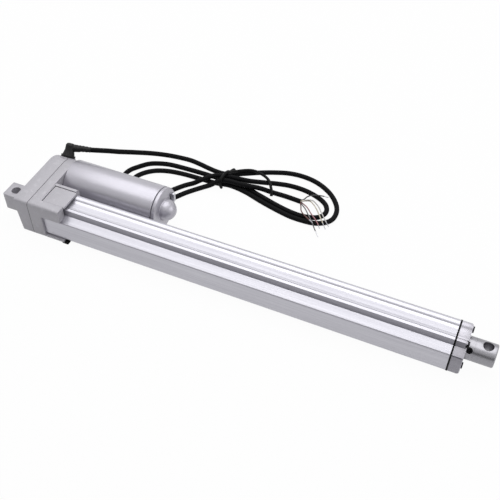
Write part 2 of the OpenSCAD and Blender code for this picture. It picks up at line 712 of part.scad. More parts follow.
// ---------- motor ----------
module motor_can() color([0.78, 0.78, 0.8]) difference() {
  union() {
    rod_x(motor_face, can_x, motor_r, motor_y, motor_z);
  }
  rod_x(motor_face - through, can_x + through, motor_r - can_wall, motor_y, motor_z);
}
plate_w = 3;
rim_w = 0.6;
bearing_wall = 2;
dome_wall = 1.35;
module motor_front_plate() color([0.7, 0.7, 0.72]) difference() {
  union() {
    rod_x(motor_face, motor_face + plate_w, magnet_r, motor_y, motor_z);
    rod_x(motor_face, motor_face + plate_w + motor_bearing_w, motor_bearing_d / half
      + bearing_wall, motor_y, motor_z);
  }
  rod_x(motor_face + plate_w, motor_face + plate_w + motor_bearing_w + through,
    motor_bearing_d / half + seat_gap, motor_y, motor_z);
  rod_x(motor_face - through, motor_face + plate_w + through, shaft_d / half + free_gap, motor_y,
    motor_z);
  for (s = motor_screws_at) rod_x(motor_face - through, motor_face + plate_w + through,
    motor_m / half + screw_gap, s[0], s[1], rough);
}
module motor_end_cap() color([0.78, 0.78, 0.8]) difference() {
  union() {
    rod_x(can_x + rim_w, motor_end_x, motor_r - run_gap * half, motor_y, motor_z);
    rod_x(can_x - plate_w, can_x + rim_w + eps, magnet_r, motor_y, motor_z);
    translate([motor_end_x - eps, motor_y, motor_z]) rotate([0, right, 0])
      rotate_extrude($fn = fine) dome_2d(0);
  }
  rod_x(can_x - plate_w - through, motor_end_x - can_wall, magnet_r - half * can_wall, motor_y,
    motor_z);
  translate([motor_end_x - eps, motor_y, motor_z]) rotate([0, right, 0])
    rotate_extrude($fn = fine) dome_2d(dome_wall);
  rod_x(motor_end_x - can_wall - eps, motor_end_x + eps, motor_bearing_d / half + seat_gap, motor_y,
    motor_z);
}
dome_n = 10;
module dome_2d(inset) polygon(concat([[0, -half * inset], [0, dome_h - inset]],
  [for (i = [dome_n - 1:-1:0]) [(dome_r - inset) * cos(right * i / dome_n),
    (dome_h - inset) * sin(right * i / dome_n)]], [[dome_r - inset, -half * inset]]));
rear_bearing_x = motor_end_x - can_wall + eps;
module motor_bearings() color([0.6, 0.6, 0.62]) {
  ring_x(motor_face + plate_w + seat_gap, motor_face + plate_w + motor_bearing_w,
    motor_bearing_d / half, shaft_d / half + run_gap, motor_y, motor_z, mid);
  ring_x(rear_bearing_x, rear_bearing_x + motor_bearing_w, motor_bearing_d / half,
    shaft_d / half + run_gap, motor_y, motor_z, mid);
}
magnet_over = 2;
magnet_n = 16;
module motor_magnets() color([0.15, 0.15, 0.16]) for (s = [0, half_turn])
  translate([0, motor_y, motor_z]) rotate([s, 0, 0]) along_x(armature_x - magnet_over,
    armature_end_x + magnet_over)
    polygon(concat(arc(0, 0, magnet_r, -magnet_angle / half, magnet_angle / half, magnet_n),
      arc(0, 0, magnet_r - magnet_t, magnet_angle / half, -magnet_angle / half, magnet_n)));
brush_room = 10;
brush_x = armature_end_x + brush_room;
brush_w = 5;
brush_l = 8;
brush_step = 1;
holder_t = 2;
module motor_brushes() color([0.2, 0.2, 0.2]) {
  difference() {
    rod_x(brush_x + brush_w + brush_step, brush_x + brush_w + brush_step + holder_t, magnet_r,
      motor_y, motor_z);
    rod_x(brush_x, motor_end_x, commutator_d / half + brush_step, motor_y, motor_z);
  }
  for (s = [-1, 1]) translate([brush_x, motor_y, motor_z + s * (commutator_d / half + free_gap)])
    mirror([0, 0, s < 0 ? 1 : 0])
      box([0, -brush_w / half, 0], [brush_w + brush_step + eps, brush_w / half, brush_l]);
}
module motor_screws() color([0.35, 0.35, 0.37]) for (s = motor_screws_at)
  screw_x(motor_head_x, s[0], s[1], motor_m, cap_head_d,
    head_h - half * seat_gap, motor_face + plate_w);
clip_y = 56;
clip_z = 4.7;
module motor_terminal_clip() color([0.8, 0.8, 0.8])
  box([motor_end_x + seat_gap, clip_y, clip_z - clip_h / half],
    [motor_end_x + plate_w, clip_y + clip_w, clip_z + clip_h / half]);

// ---------- cable ----------
exit_l = 9.5;
exit_d = 7.6;
boot_d = 6.8;
crown = 2;
module gland_turn() at_gland() translate([0, 0, gland_seat + gland_h])
  rotate([0, right - exit_lift, exit_turn]) children();
gland_top = gland_h + gland_d / half;
module cable_gland() color([0.06, 0.06, 0.06]) difference() {
  union() {
    at_gland() translate([0, 0, gland_seat]) rotate_extrude($fn = mid) polygon([[0, -stem_l],
      [stem_d / half, -stem_l], [stem_d / half, seat_gap], [gland_flange_d / half, seat_gap],
      [gland_flange_d / half, gland_flange_t], [gland_flange_d / half - crown / half, gland_flange_t],
      [gland_d / half, gland_flange_t + cone_h],
      [gland_d / half, gland_top - crown], [gland_d / half - crown / half, gland_top - crown / half / half],
      [gland_d / half - crown, gland_top], [0, gland_top]]);
    gland_turn() cylinder(h = exit_l, r1 = exit_d / half, r2 = boot_d / half, $fn = mid);
  }
  gland_turn() translate([0, 0, crown]) cylinder(h = exit_l, r = cord_d / half + half * run_gap,
    $fn = mid);
}
module power_cord() color([0.05, 0.05, 0.05]) sweep(cord_pts, cord_d / half, 10);
module cord_wires() color([0.5, 0.4, 0.3]) for (w = wire_paths) sweep(w, wire_d / half, 6);
module cord_tie() color([0.05, 0.05, 0.05]) for (w = tie_paths) sweep(w, tie_d / half, 8);

// ---------- switches ----------
module switch_strip() color([0.1, 0.35, 0.15])
  box([switch_a_x, -channel_y + seat_gap, -channel_low + free_gap],
    [switch_b_x + switch_l, -channel_y + strip_t, -free_gap]);
module limit_switch(x) box([x, -channel_y + strip_t + seat_gap, -channel_low / half - switch_h / half],
  [x + switch_l, -channel_y + strip_t + switch_t, -channel_low / half + switch_h / half]);
module rear_limit_switch() color([0.08, 0.08, 0.1]) limit_switch(switch_a_x);
module front_limit_switch() color([0.08, 0.08, 0.1]) limit_switch(switch_b_x);

// ---------- bearing, screw and gears ----------
bearing_end = block_x - free_gap;
module screw_bearing_outer() color([0.6, 0.6, 0.62])
  ring_x(bearing_x + seat_gap, bearing_end, bearing_d / half, race_mid + ball_d / half + run_gap);
module screw_bearing_inner() color([0.62, 0.62, 0.64])
  ring_x(bearing_x + seat_gap, bearing_end, race_mid - ball_d / half - run_gap,
    lead_d / half + seat_gap);
module screw_bearing_balls() color([0.8, 0.8, 0.82]) for (i = [0:ball_n - 1])
  rotate([i * full_turn / ball_n, 0, 0])
    translate([bearing_x + bearing_w / half, race_mid, 0]) sphere(d = ball_d, $fn = rough);
module screw_tail_bush() color([0.7, 0.55, 0.3])
  ring_x(tail_x, cavity_x, tail_d / half + housing_wall - half * seat_gap, tail_d / half + run_gap);
module idler_pin() color([0.6, 0.6, 0.62])
  rod_x(cavity_x - idler_pin_d / half + seat_gap, block_x0 + idler_seat - seat_gap,
    idler_pin_d / half, idler_y, idler_z, mid);

screw_tip = 1;
thread_flat = lead_pitch / half / half;
module lead_screw() color([0.65, 0.65, 0.67]) translate([tail_x + free_gap, 0, 0])
  rotate([0, right, 0]) rotate_extrude($fn = mid) polygon(concat(
    [[0, 0], [tail_d / half, 0], [tail_d / half, block_x0 + recess_h - tail_x - free_gap],
     [lead_d / half, block_x0 + recess_h - tail_x - free_gap]],
    [for (i = [lead_grooves:-1:1]) let (e = lead_end_x - tail_x - free_gap - i * lead_pitch) each
      [[lead_d / half, e - thread_flat], [lead_d / half - lead_depth, e],
       [lead_d / half - lead_depth, e + thread_flat], [lead_d / half, e + lead_pitch / half]]],
    [[lead_d / half, lead_end_x - tail_x - free_gap - screw_tip],
     [lead_d / half - screw_tip, lead_end_x - tail_x - free_gap],
     [0, lead_end_x - tail_x - free_gap]]));
hub_l = 0.6;
hub_r = 9;
module screw_gear() color([0.85, 0.82, 0.7]) difference() {
  union() {
    along_x(gear_b_x, gear_b_x + gear_b_w) gear_2d(screw_n, idler_dir + half_turn / screw_n);
    rod_x(gear_b_x, gear_b_x + gear_b_w + hub_l, hub_r);
  }
  rod_x(gear_b_x - through, gear_b_x + gear_b_w + through, tail_d / half + seat_gap);
}
module idler_gear() color([0.65, 0.65, 0.67]) difference() {
  translate([0, idler_y, idler_z]) union() {
    along_x(gear_a_x, gear_a_x + gear_a_w)
      gear_2d(idler_big_n, pinion_dir + half_turn / idler_big_n);
    along_x(gear_a_x + gear_a_w - eps, gear_b_x + gear_b_w)
      gear_2d(idler_small_n, idler_dir + half_turn);
  }
  rod_x(gear_a_x - through, gear_b_x + gear_b_w + through, idler_pin_d / half + run_gap, idler_y,
    idler_z);
}
pinion_over = 1;
collar_l = 5;
collar_r = 4.5;
module motor_pinion() color([0.6, 0.6, 0.62]) difference() {
  translate([0, motor_y, motor_z]) union() {
    along_x(gear_a_x - half * seat_gap, gear_a_x + gear_a_w + pinion_over)
      gear_2d(pinion_n, pinion_dir + half_turn);
    rod_x(gear_a_x + gear_a_w, gear_a_x + gear_a_w + collar_l, collar_r);
  }
  rod_x(gear_a_x - through, gear_b_x + housing_h, shaft_d / half + seat_gap, motor_y, motor_z);
}
shaft_x0 = cavity_x + free_gap;
shaft_x1 = rear_bearing_x + motor_bearing_w - free_gap;
module motor_shaft() color([0.65, 0.65, 0.67])
  rod_x(shaft_x0, shaft_x1, shaft_d / half, motor_y, motor_z);
slot_w = 2.4;
slot_floor = 8;
coil_in = 9;
coil_out = 13;
coil_end_r = 12;
module armature_core() color([0.45, 0.45, 0.47]) difference() {
  rod_x(armature_x, armature_end_x, armature_d / half, motor_y, motor_z);
  rod_x(armature_x - through, armature_end_x + through, shaft_d / half + seat_gap, motor_y,
    motor_z);
  translate([0, motor_y, motor_z]) for (i = [0:armature_slots - 1])
    rotate([i * full_turn / armature_slots, 0, 0])
      box([armature_x - through, slot_floor, -slot_w / half],
        [armature_end_x + through, armature_d, slot_w / half]);
}
module armature_windings() color([0.7, 0.35, 0.15]) {
  for (x = [armature_x - plate_w - seat_gap, armature_end_x + seat_gap])
    ring_x(x, x + plate_w, coil_end_r, shaft_d / half + seat_gap * half, motor_y, motor_z, mid);
  translate([0, motor_y, motor_z]) for (i = [0:armature_slots - 1])
    rotate([i * full_turn / armature_slots, 0, 0])
      box([armature_x - half * seat_gap - eps, coil_in, -slot_w / half + half * run_gap],
        [armature_end_x + half * seat_gap + eps, coil_out, slot_w / half - half * run_gap]);
}
commutator_in = 2;
module commutator() color([0.75, 0.45, 0.2]) difference() {
  rod_x(brush_x - commutator_in, brush_x - commutator_in + commutator_l, commutator_d / half,
    motor_y, motor_z, mid);
  rod_x(armature_x, motor_end_x, shaft_d / half + seat_gap, motor_y, motor_z);
}

// ---------- rod ----------
module rod_tube() color([0.8, 0.8, 0.82]) difference() {
  rod_x(nut_x + nut_l + seat_gap, rod_joint_x, rod_r);
  rod_x(nut_x, rod_joint_x + through, rod_bore / half);
  translate([set_x, 0, 0]) rotate([set_angle, 0, 0]) rotate([-right, 0, 0])
    cylinder(h = rod_d, r = set_d / half + run_gap, $fn = rough);
}
module drive_nut() color([0.85, 0.83, 0.75]) difference() {
  union() {
    rod_x(nut_x, nut_x + nut_l, bore_r - run_gap);
    rod_x(nut_x + nut_l - eps, nut_x + nut_l + nut_plug, rod_bore / half - seat_gap);
    box([nut_x + nut_l - key_l, -key_y, -channel_low + free_gap],
      [nut_x + nut_l, 0, -free_gap]);
  }
  rod_x(nut_x - through, nut_x + nut_l + nut_plug + through, lead_d / half + run_gap);
}
module rod_end() color([0.78, 0.78, 0.8]) difference() {
  union() {
    rod_x(rod_joint_x - plug_l, rod_joint_x + ring_w + eps, rod_bore / half - seat_gap);
    rod_x(rod_joint_x + ring_w, rod_tip_x - rod_chamfer, rod_r);
    translate([rod_tip_x - rod_chamfer - eps, 0, 0]) rotate([0, right, 0])
      cylinder(h = rod_chamfer + eps, r1 = rod_r, r2 = rod_r - rod_chamfer, $fn = fine);
    rod_x(rod_joint_x + seat_gap, rod_joint_x + ring_w + eps, rod_r - ring_d);
  }
  translate([hole_to_hole, 0, -housing_h / half]) cylinder(h = housing_h, r = pin_hole_d / half,
    $fn = fine);
  translate([set_x, 0, 0]) rotate([set_angle, 0, 0]) rotate([-right, 0, 0])
    translate([0, 0, set_in - seat_gap]) cylinder(h = rod_d, r = set_d / half + run_gap, $fn = rough);
}
set_in = 4;
ring_d = 0.3;
module rod_set_screw() color([0.12, 0.12, 0.13])
  translate([set_x, 0, 0]) rotate([set_angle, 0, 0]) rotate([-right, 0, 0]) difference() {
    translate([0, 0, set_in]) cylinder(h = rod_r - set_sink - set_in, r = set_d / half, $fn = rough);
    translate([0, 0, rod_r - set_sink - socket_h]) cylinder(h = rod_d, r = set_d / half / half, $fn = 6);
  }

rear_housing();
gearbox_housing();
housing_gasket();
housing_screws();
cradle_cover_plate();
tube_screws();
outer_tube();
tube_gasket();
front_end_cap();
end_cap_screws();
guide_bush();
rod_seal();
motor_can();
motor_front_plate();
motor_end_cap();
motor_magnets();
motor_bearings();
motor_brushes();
motor_screws();
motor_terminal_clip();
cable_gland();
power_cord();
cord_wires();
cord_tie();
switch_strip();
rear_limit_switch();
front_limit_switch();
screw_bearing_outer();
screw_bearing_balls();
screw_tail_bush();
idler_pin();
lead_screw();
screw_gear();
screw_bearing_inner();
idler_gear();
motor_shaft();
armature_core();
armature_windings();
commutator();
motor_pinion();
rod_tube();
drive_nut();
rod_end();
rod_set_screw();
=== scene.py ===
"""Looks of a linear actuator: a motor beside an extruded tube, a sliding rod and a sleeved cord."""

import math

import bmesh
import bpy
from mathutils import Matrix, Vector
from mathutils.bvhtree import BVHTree


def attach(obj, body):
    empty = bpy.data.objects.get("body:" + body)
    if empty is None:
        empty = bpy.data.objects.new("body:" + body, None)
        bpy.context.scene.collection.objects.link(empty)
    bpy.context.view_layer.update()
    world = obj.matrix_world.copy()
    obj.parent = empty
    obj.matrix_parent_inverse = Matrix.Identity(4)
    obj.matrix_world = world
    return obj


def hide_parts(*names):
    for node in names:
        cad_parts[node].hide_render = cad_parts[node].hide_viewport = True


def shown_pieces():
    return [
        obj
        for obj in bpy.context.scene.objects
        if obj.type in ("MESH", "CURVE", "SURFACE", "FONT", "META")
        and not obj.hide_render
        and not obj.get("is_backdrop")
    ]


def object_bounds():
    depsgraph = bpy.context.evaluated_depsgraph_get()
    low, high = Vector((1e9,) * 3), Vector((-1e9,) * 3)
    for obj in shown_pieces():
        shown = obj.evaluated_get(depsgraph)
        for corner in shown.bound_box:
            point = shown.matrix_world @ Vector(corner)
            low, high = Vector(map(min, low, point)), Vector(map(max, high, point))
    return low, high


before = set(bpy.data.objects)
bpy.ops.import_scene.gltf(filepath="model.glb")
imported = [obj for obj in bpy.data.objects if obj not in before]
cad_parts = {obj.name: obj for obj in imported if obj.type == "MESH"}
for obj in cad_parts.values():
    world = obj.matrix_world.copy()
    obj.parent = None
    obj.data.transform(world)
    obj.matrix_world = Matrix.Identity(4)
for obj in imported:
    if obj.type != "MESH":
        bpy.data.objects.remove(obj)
cad_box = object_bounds()
MM = 0.001

# ---------------------------------------------------------------- camera
PHOTO = 500
SENSOR = 36.0
camera_lens = 56.0
camera_place = (0.4312, -0.4155, 0.5143)
camera_tilt = 46.7
camera_turn = 24.0
camera_shift = (0.0, 0.0)

eye = bpy.data.cameras.new("photo_camera")
eye.lens = camera_lens
eye.sensor_width = SENSOR
eye.sensor_fit = "AUTO"
eye.shift_x, eye.shift_y = camera_shift
eye.clip_start, eye.clip_end = 0.01, 20.0
camera = bpy.data.objects.new("photo_camera", eye)
bpy.context.collection.objects.link(camera)
camera.location = camera_place
camera.rotation_euler = (math.radians(90 - camera_tilt), 0.0, math.radians(camera_turn))
bpy.context.scene.camera = camera
bpy.context.view_layer.update()

# Where things show in the photograph, in pixels of its 500 by 500 frame
POINTS = {
    "left edge": (2.5, None),
    "right edge": (498.9, None),
    "top edge": (None, 143.5),
    "bottom edge": (None, 372.6),
    "rear hole": (16.1, 189.6),
    "rod hole": (489.4, 345.7),
    "lug corner": (12.6, 182.3),
    "housing foot": (63.2, 244.4),
    "cradle corner": (57.0, 213.5),
    "cover plate": (58.7, 197.3),
    "cable gland": (68.8, 150.5),
    "terminal tab": (172.3, 197.0),
    "terminal slot": (170.2, 196.5),
    "motor dome": (168.6, 212.0),
    "tube gasket top": (462.7, 320.5),
    "tube gasket foot": (447.1, 368.8),
    "set screw": (469.8, 350.9),
    "lip plug": (66.4, 242.0),
    "cord loop": (336.5, 212.5),
}


def sight(x, y):
    """The line of sight through a pixel: where it starts and its direction."""
    side = PHOTO
    turn = camera.matrix_world.to_quaternion()
    across = x - PHOTO / 2 + camera_shift[0] * side
    up = PHOTO / 2 - y + camera_shift[1] * side
    aim = Vector((across, up, -side * camera_lens / SENSOR))
    return camera.matrix_world.translation, (turn @ aim).normalized()


def spot_on(carrier, name):
    """Where a named image point meets a finished piece, and the surface's normal there.

    A miss takes the place nearest the ray.
    """
    start, line = sight(*POINTS[name])
    corners = [carrier.matrix_world @ v.co for v in carrier.data.vertices]
    surface = BVHTree.FromPolygons(corners, [tuple(f.vertices) for f in carrier.data.polygons])
    place, normal, _, _ = surface.ray_cast(start, line)
    if place is None:
        tries = (surface.find_nearest(start + line * (0.4 + 0.001 * step)) for step in range(800))
        place, normal, _, _ = min(tries, key=lambda near: near[3])
    return place, normal


def seen_at(place):
    """The pixel where a place shows."""
    local = camera.matrix_world.inverted() @ Vector(place)
    scale = PHOTO * camera_lens / SENSOR / -local.z
    return (
        PHOTO / 2 - camera_shift[0] * PHOTO + local.x * scale,
        PHOTO / 2 + camera_shift[1] * PHOTO - local.y * scale,
    )


# ---------------------------------------------------------------- the cord's route
CORD_DIAMETER = 0.005
WIRE_DIAMETER = 0.0012
TIE_DIAMETER = 0.003
CORD_ROUTE = [
    (0.029, 0.063, 0.0235), (0.0355, 0.0655, 0.023), (0.043, 0.0685, 0.022), (0.0505, 0.0735, 0.02),
    (0.0565, 0.08, 0.0165), (0.0625, 0.088, 0.0115), (0.069, 0.0975, 0.006), (0.075, 0.106, 0.001),
    (0.0815, 0.1145, -0.004), (0.089, 0.122, -0.0085), (0.098, 0.129, -0.013), (0.1075, 0.1345, -0.017),
    (0.118, 0.1355, -0.0175), (0.1295, 0.134, -0.0175), (0.1395, 0.132, -0.0175), (0.1495, 0.1305, -0.0175),
    (0.1585, 0.1305, -0.0175), (0.1665, 0.133, -0.0175), (0.1795, 0.14, -0.0175), (0.192, 0.147, -0.0175),
    (0.206, 0.1535, -0.0175), (0.221, 0.1585, -0.0175), (0.237, 0.1595, -0.0175), (0.253, 0.156, -0.0175),
    (0.268, 0.1475, -0.0175), (0.2785, 0.1365, -0.0175), (0.284, 0.1255, -0.0175), (0.2845, 0.114, -0.0175),
    (0.28, 0.106, -0.0175), (0.2705, 0.1005, -0.0175), (0.2585, 0.099, -0.0175), (0.2445, 0.0995, -0.0175),
    (0.2275, 0.103, -0.0175), (0.209, 0.108, -0.0175), (0.19, 0.114, -0.0175), (0.172, 0.1165, -0.0175),
    (0.1565, 0.114, -0.0175), (0.1395, 0.1135, -0.0175), (0.121, 0.113, -0.0175), (0.106, 0.111, -0.0175),
    (0.094, 0.107, -0.0175), (0.086, 0.1015, -0.0175), (0.0805, 0.095, -0.0175), (0.0775, 0.0875, -0.0175),
    (0.0795, 0.0795, -0.0175), (0.0865, 0.074, -0.0175), (0.095, 0.0725, -0.0175), (0.104, 0.0735, -0.0175),
    (0.112, 0.077, -0.0175), (0.119, 0.083, -0.0175), (0.124, 0.09, -0.0175), (0.13, 0.098, -0.0175),
    (0.137, 0.1045, -0.017), (0.145, 0.1095, -0.013), (0.152, 0.116, -0.0115), (0.16, 0.121, -0.012),
    (0.169, 0.123, -0.012), (0.179, 0.1255, -0.0135), (0.1885, 0.13, -0.0165), (0.201, 0.1345, -0.0175),
    (0.215, 0.1385, -0.0175), (0.229, 0.141, -0.0175), (0.2445, 0.1405, -0.0175), (0.259, 0.1365, -0.0175),
    (0.2705, 0.1295, -0.0175), (0.275, 0.1195, -0.0175), (0.2705, 0.1095, -0.0175), (0.2575, 0.105, -0.0175),
    (0.2425, 0.1055, -0.0175), (0.2245, 0.1095, -0.0175), (0.206, 0.115, -0.0175), (0.187, 0.1205, -0.0175),
    (0.169, 0.123, -0.0175), (0.1525, 0.122, -0.0175), (0.135, 0.122, -0.0175), (0.1165, 0.1215, -0.0175),
    (0.101, 0.1205, -0.0175), (0.0885, 0.117, -0.0175), (0.0795, 0.112, -0.0175), (0.072, 0.1035, -0.0175),
    (0.067, 0.096, -0.0175), (0.0655, 0.087, -0.0175), (0.069, 0.078, -0.0175), (0.0765, 0.071, -0.0175),
    (0.086, 0.0665, -0.0175), (0.097, 0.0645, -0.0175), (0.108, 0.065, -0.0175), (0.118, 0.068, -0.0175),
    (0.125, 0.073, -0.0175), (0.13, 0.0795, -0.0175), (0.1355, 0.088, -0.0175), (0.1415, 0.0955, -0.0175),
    (0.148, 0.103, -0.0175), (0.1545, 0.108, -0.016), (0.1615, 0.1125, -0.012), (0.17, 0.116, -0.0115),
    (0.181, 0.117, -0.012), (0.1915, 0.118, -0.012), (0.2035, 0.1205, -0.013), (0.2155, 0.124, -0.017),
    (0.2305, 0.1245, -0.0175), (0.2465, 0.1235, -0.0175),
]
WIRE_ROUTES = [
    [
        (0.2468, 0.1242, -0.0163), (0.2486, 0.1279, -0.0172), (0.2508, 0.1298, -0.015),
        (0.2537, 0.1317, -0.0136), (0.2588, 0.1334, -0.0126), (0.2641, 0.1369, -0.0146),
        (0.2693, 0.1416, -0.0188),
    ],
    [
        (0.2467, 0.1221, -0.0175), (0.2493, 0.1173, -0.0178), (0.2525, 0.1094, -0.0154),
        (0.2578, 0.103, -0.0132), (0.2631, 0.099, -0.0122), (0.2695, 0.0947, -0.0114),
    ],
    [
        (0.2468, 0.1228, -0.0187), (0.254, 0.116, -0.0174), (0.2594, 0.1079, -0.0142), (0.264, 0.102, -0.0134),
        (0.2687, 0.0963, -0.0132), (0.2727, 0.0927, -0.0166), (0.2792, 0.0859, -0.0192),
    ],
    [
        (0.2468, 0.1242, -0.0187), (0.2555, 0.1177, -0.0168), (0.2634, 0.1077, -0.0136),
        (0.2692, 0.1023, -0.0132), (0.2739, 0.0974, -0.0132), (0.2772, 0.095, -0.017),
    ],
    [
        (0.2468, 0.1228, -0.0163), (0.255, 0.1253, -0.015), (0.2609, 0.1205, -0.013), (0.2665, 0.1144, -0.012),
        (0.2715, 0.108, -0.012), (0.2761, 0.1025, -0.0128), (0.2824, 0.0975, -0.0184),
    ],
    [
        (0.2469, 0.1249, -0.0175), (0.2537, 0.1247, -0.0136), (0.259, 0.1246, -0.0126),
        (0.2665, 0.1184, -0.0114), (0.2732, 0.1105, -0.0116), (0.2788, 0.1046, -0.0128),
        (0.2843, 0.1012, -0.0176),
    ],
]
TIE_ROUTES = [
    [
        (0.165, 0.1108, -0.0182), (0.1646, 0.1092, -0.014), (0.1646, 0.1096, -0.0094),
        (0.1648, 0.113, -0.0066), (0.165, 0.1185, -0.0069), (0.1652, 0.123, -0.0072), (0.1656, 0.127, -0.0092),
        (0.166, 0.1296, -0.0116), (0.1664, 0.133, -0.0126), (0.1668, 0.1376, -0.0146),
        (0.167, 0.1388, -0.0182),
    ],
    [
        (0.165, 0.121, -0.007), (0.1665, 0.125, -0.0082), (0.1686, 0.13, -0.011), (0.172, 0.1345, -0.0125),
        (0.1775, 0.139, -0.013), (0.184, 0.142, -0.013), (0.1905, 0.1425, -0.013), (0.1975, 0.141, -0.0135),
        (0.204, 0.1375, -0.013), (0.2095, 0.132, -0.0125), (0.2135, 0.125, -0.0115), (0.2165, 0.1195, -0.011),
        (0.218, 0.1156, -0.0142),
    ],
]


def flowing(route, steps=8):
    """Places on a smooth curve through the route's points."""
    points = [Vector(p) for p in route]
    ends = [2 * points[0] - points[1], *points, 2 * points[-1] - points[-2]]
    line = []
    for before, start, end, after in zip(ends, ends[1:], ends[2:], ends[3:]):
        for step in range(steps):
            t = step / steps
            line.append(
                0.5 * (2 * start + (end - before) * t + (2 * before - 5 * start + 4 * end - after) * t**2
                       + (3 * start - before - 3 * end + after) * t**3)
            )
    return [*line, points[-1]]


def line_length(line):
    return sum((b - a).length for a, b in zip(line, line[1:]))


def hose(name, line, radius, sides=16, turns=1.0):
    """A closed tube along a line. Its UV map runs round it, and along it in the same measure."""
    shape = bmesh.new()
    chart = shape.loops.layers.uv.new("UVMap")
    rings, marks, travelled = [], [], 0.0
    side = None
    for number, place in enumerate(line):
        ahead = line[min(number + 1, len(line) - 1)] - line[max(number - 1, 0)]
        ahead.normalize()
        if side is None:
            side = ahead.cross(Vector((0, 0, 1))).normalized()
        side = (side - ahead * side.dot(ahead)).normalized()
        up = side.cross(ahead)
        wide = radius(number / (len(line) - 1)) if callable(radius) else radius
        if number:
            travelled += (place - line[number - 1]).length
        angles = [math.tau * k / sides for k in range(sides)]
        rings.append([
            shape.verts.new(place + wide * (math.cos(angle) * side + math.sin(angle) * up)) for angle in angles
        ])
        marks.append(travelled / (math.tau * wide))
    for number in range(len(rings) - 1):
        near, far = rings[number], rings[number + 1]
        for k in range(sides):
            after = (k + 1) % sides
            face = shape.faces.new((near[k], near[after], far[after], far[k]))
            spots = ((k, number), (k + 1, number), (k + 1, number + 1), (k, number + 1))
            for loop, (around, along) in zip(face.loops, spots):
                loop[chart].uv = (around / sides * turns, marks[along])
    for ring in (rings[0], rings[-1]):
        shape.faces.new(ring)
    bmesh.ops.recalc_face_normals(shape, faces=shape.faces)
    mesh = bpy.data.meshes.new(name)
    shape.to_mesh(mesh)
    shape.free()
    piece = bpy.data.objects.new(name, mesh)
    bpy.context.collection.objects.link(piece)
    return piece


# ---------------------------------------------------------------- finishes
class Value:
    """A number from a node. An expression on values adds its Math nodes."""

    def __init__(self, finish, socket):
        self.finish, self.socket = finish, socket

    def maths(self, operation, *numbers):
        made = self.finish.node("ShaderNodeMath", {"operation": operation}, dict(enumerate(numbers)))
        return Value(self.finish, made.outputs[0])

    def __add__(self, other):
        return self.maths("ADD", self, other)

    def __sub__(self, other):
        return self.maths("SUBTRACT", self, other)

    def __rsub__(self, other):
        return self.maths("SUBTRACT", other, self)

    def __mul__(self, other):
        return self.maths("MULTIPLY", self, other)

    def __gt__(self, other):
        return self.maths("GREATER_THAN", self, other)

    def __lt__(self, other):
        return self.maths("LESS_THAN", self, other)

    def wave(self, turns):
        """0 to 1 and back, that many times in each unit of this value."""
        return (self * (turns * math.tau)).maths("SINE") * 0.5 + 0.5

    __radd__ = __add__
    __rmul__ = __mul__


class Finish:
    """A material: its nodes, its shader and the patterns that the finishes share."""

    def __init__(self, name, colour, roughness, metallic=0.0, **constants):
        self.material = bpy.data.materials.new(name)
        self.material.use_nodes = True
        self.tree = self.material.node_tree
        self.tree.nodes.clear()
        self.shader = self.node("ShaderNodeBsdfPrincipled")
        self.set(Base_Color=colour, Roughness=roughness, Metallic=metallic, **constants)
        self.node("ShaderNodeOutputMaterial", {}, {"Surface": self.shader.outputs[0]})

    def node(self, kind, settings={}, inputs={}):
        made = self.tree.nodes.new(kind)
        for name, setting in settings.items():
            if name == "stops":
                for stop, place_and_shade in zip(made.color_ramp.elements, setting):
                    stop.position, shade = place_and_shade
                    stop.color = (shade, shade, shade, 1)
            else:
                setattr(made, name, setting)
        for name, value in inputs.items():
            self.feed(made.inputs[name], value)
        return made

    def feed(self, socket, value):
        if isinstance(value, Value):
            value = value.socket
        if isinstance(value, bpy.types.NodeSocket):
            self.tree.links.new(value, socket)
        elif isinstance(value, tuple) and socket.type == "RGBA":
            socket.default_value = (*value, 1)
        else:
            socket.default_value = value

    def set(self, **sockets):
        for name, value in sockets.items():
            self.feed(self.shader.inputs[name.replace("_", " ")], value)
        return self

    def place(self, axis=None):
        """Object coordinates in metres, or one of them."""
        at = self.node("ShaderNodeTexCoord").outputs["Object"]
        if axis is None:
            return at
        return Value(self, self.node("ShaderNodeSeparateXYZ", {}, {0: at}).outputs[axis])

    def uv(self, axis):
        at = self.node("ShaderNodeTexCoord").outputs["UV"]
        return Value(self, self.node("ShaderNodeSeparateXYZ", {}, {0: at}).outputs[axis])

    def grain(self, size, stretch=(1, 1, 1), detail=2.0, turn=(0, 0, 0)):
        """Noise with grains of that size in metres, stretched along some axes."""
        spread = tuple(1 / (size * s) for s in stretch)
        at = self.node("ShaderNodeMapping", {}, {"Vector": self.place(), "Scale": spread, "Rotation": turn})
        made = self.node("ShaderNodeTexNoise", {}, {"Vector": at.outputs[0], "Scale": 1.0, "Detail": detail})
        return Value(self, made.outputs["Fac"])

    def between(self, value, low, high):
        """0 below low, 1 above high."""
        limits = {"Value": value, "From Min": low, "From Max": high}
        made = self.node("ShaderNodeMapRange", {"clamp": True}, limits)
        return Value(self, made.outputs[0])

    def blend(self, mask, first, second):
        """The first colour where the mask is 0, the second where it is 1."""
        made = self.node("ShaderNodeMix", {"data_type": "RGBA"})
        for number, value in ((0, mask), (6, first), (7, second)):
            self.feed(made.inputs[number], value)
        return made.outputs[2]

    def relief(self, height, depth, strength=1.0):
        """Bump: height is 0 to 1, depth is in metres."""
        made = self.node("ShaderNodeBump", {}, {"Height": height, "Distance": depth, "Strength": strength})
        return self.set(Normal=made.outputs[0])


def tone(red, green, blue):
    """A colour as it shows on the screen, 0 to 255."""
    shares = (red / 255, green / 255, blue / 255)
    return tuple(c / 12.92 if c <= 0.04045 else ((c + 0.055) / 1.055) ** 2.4 for c in shares)


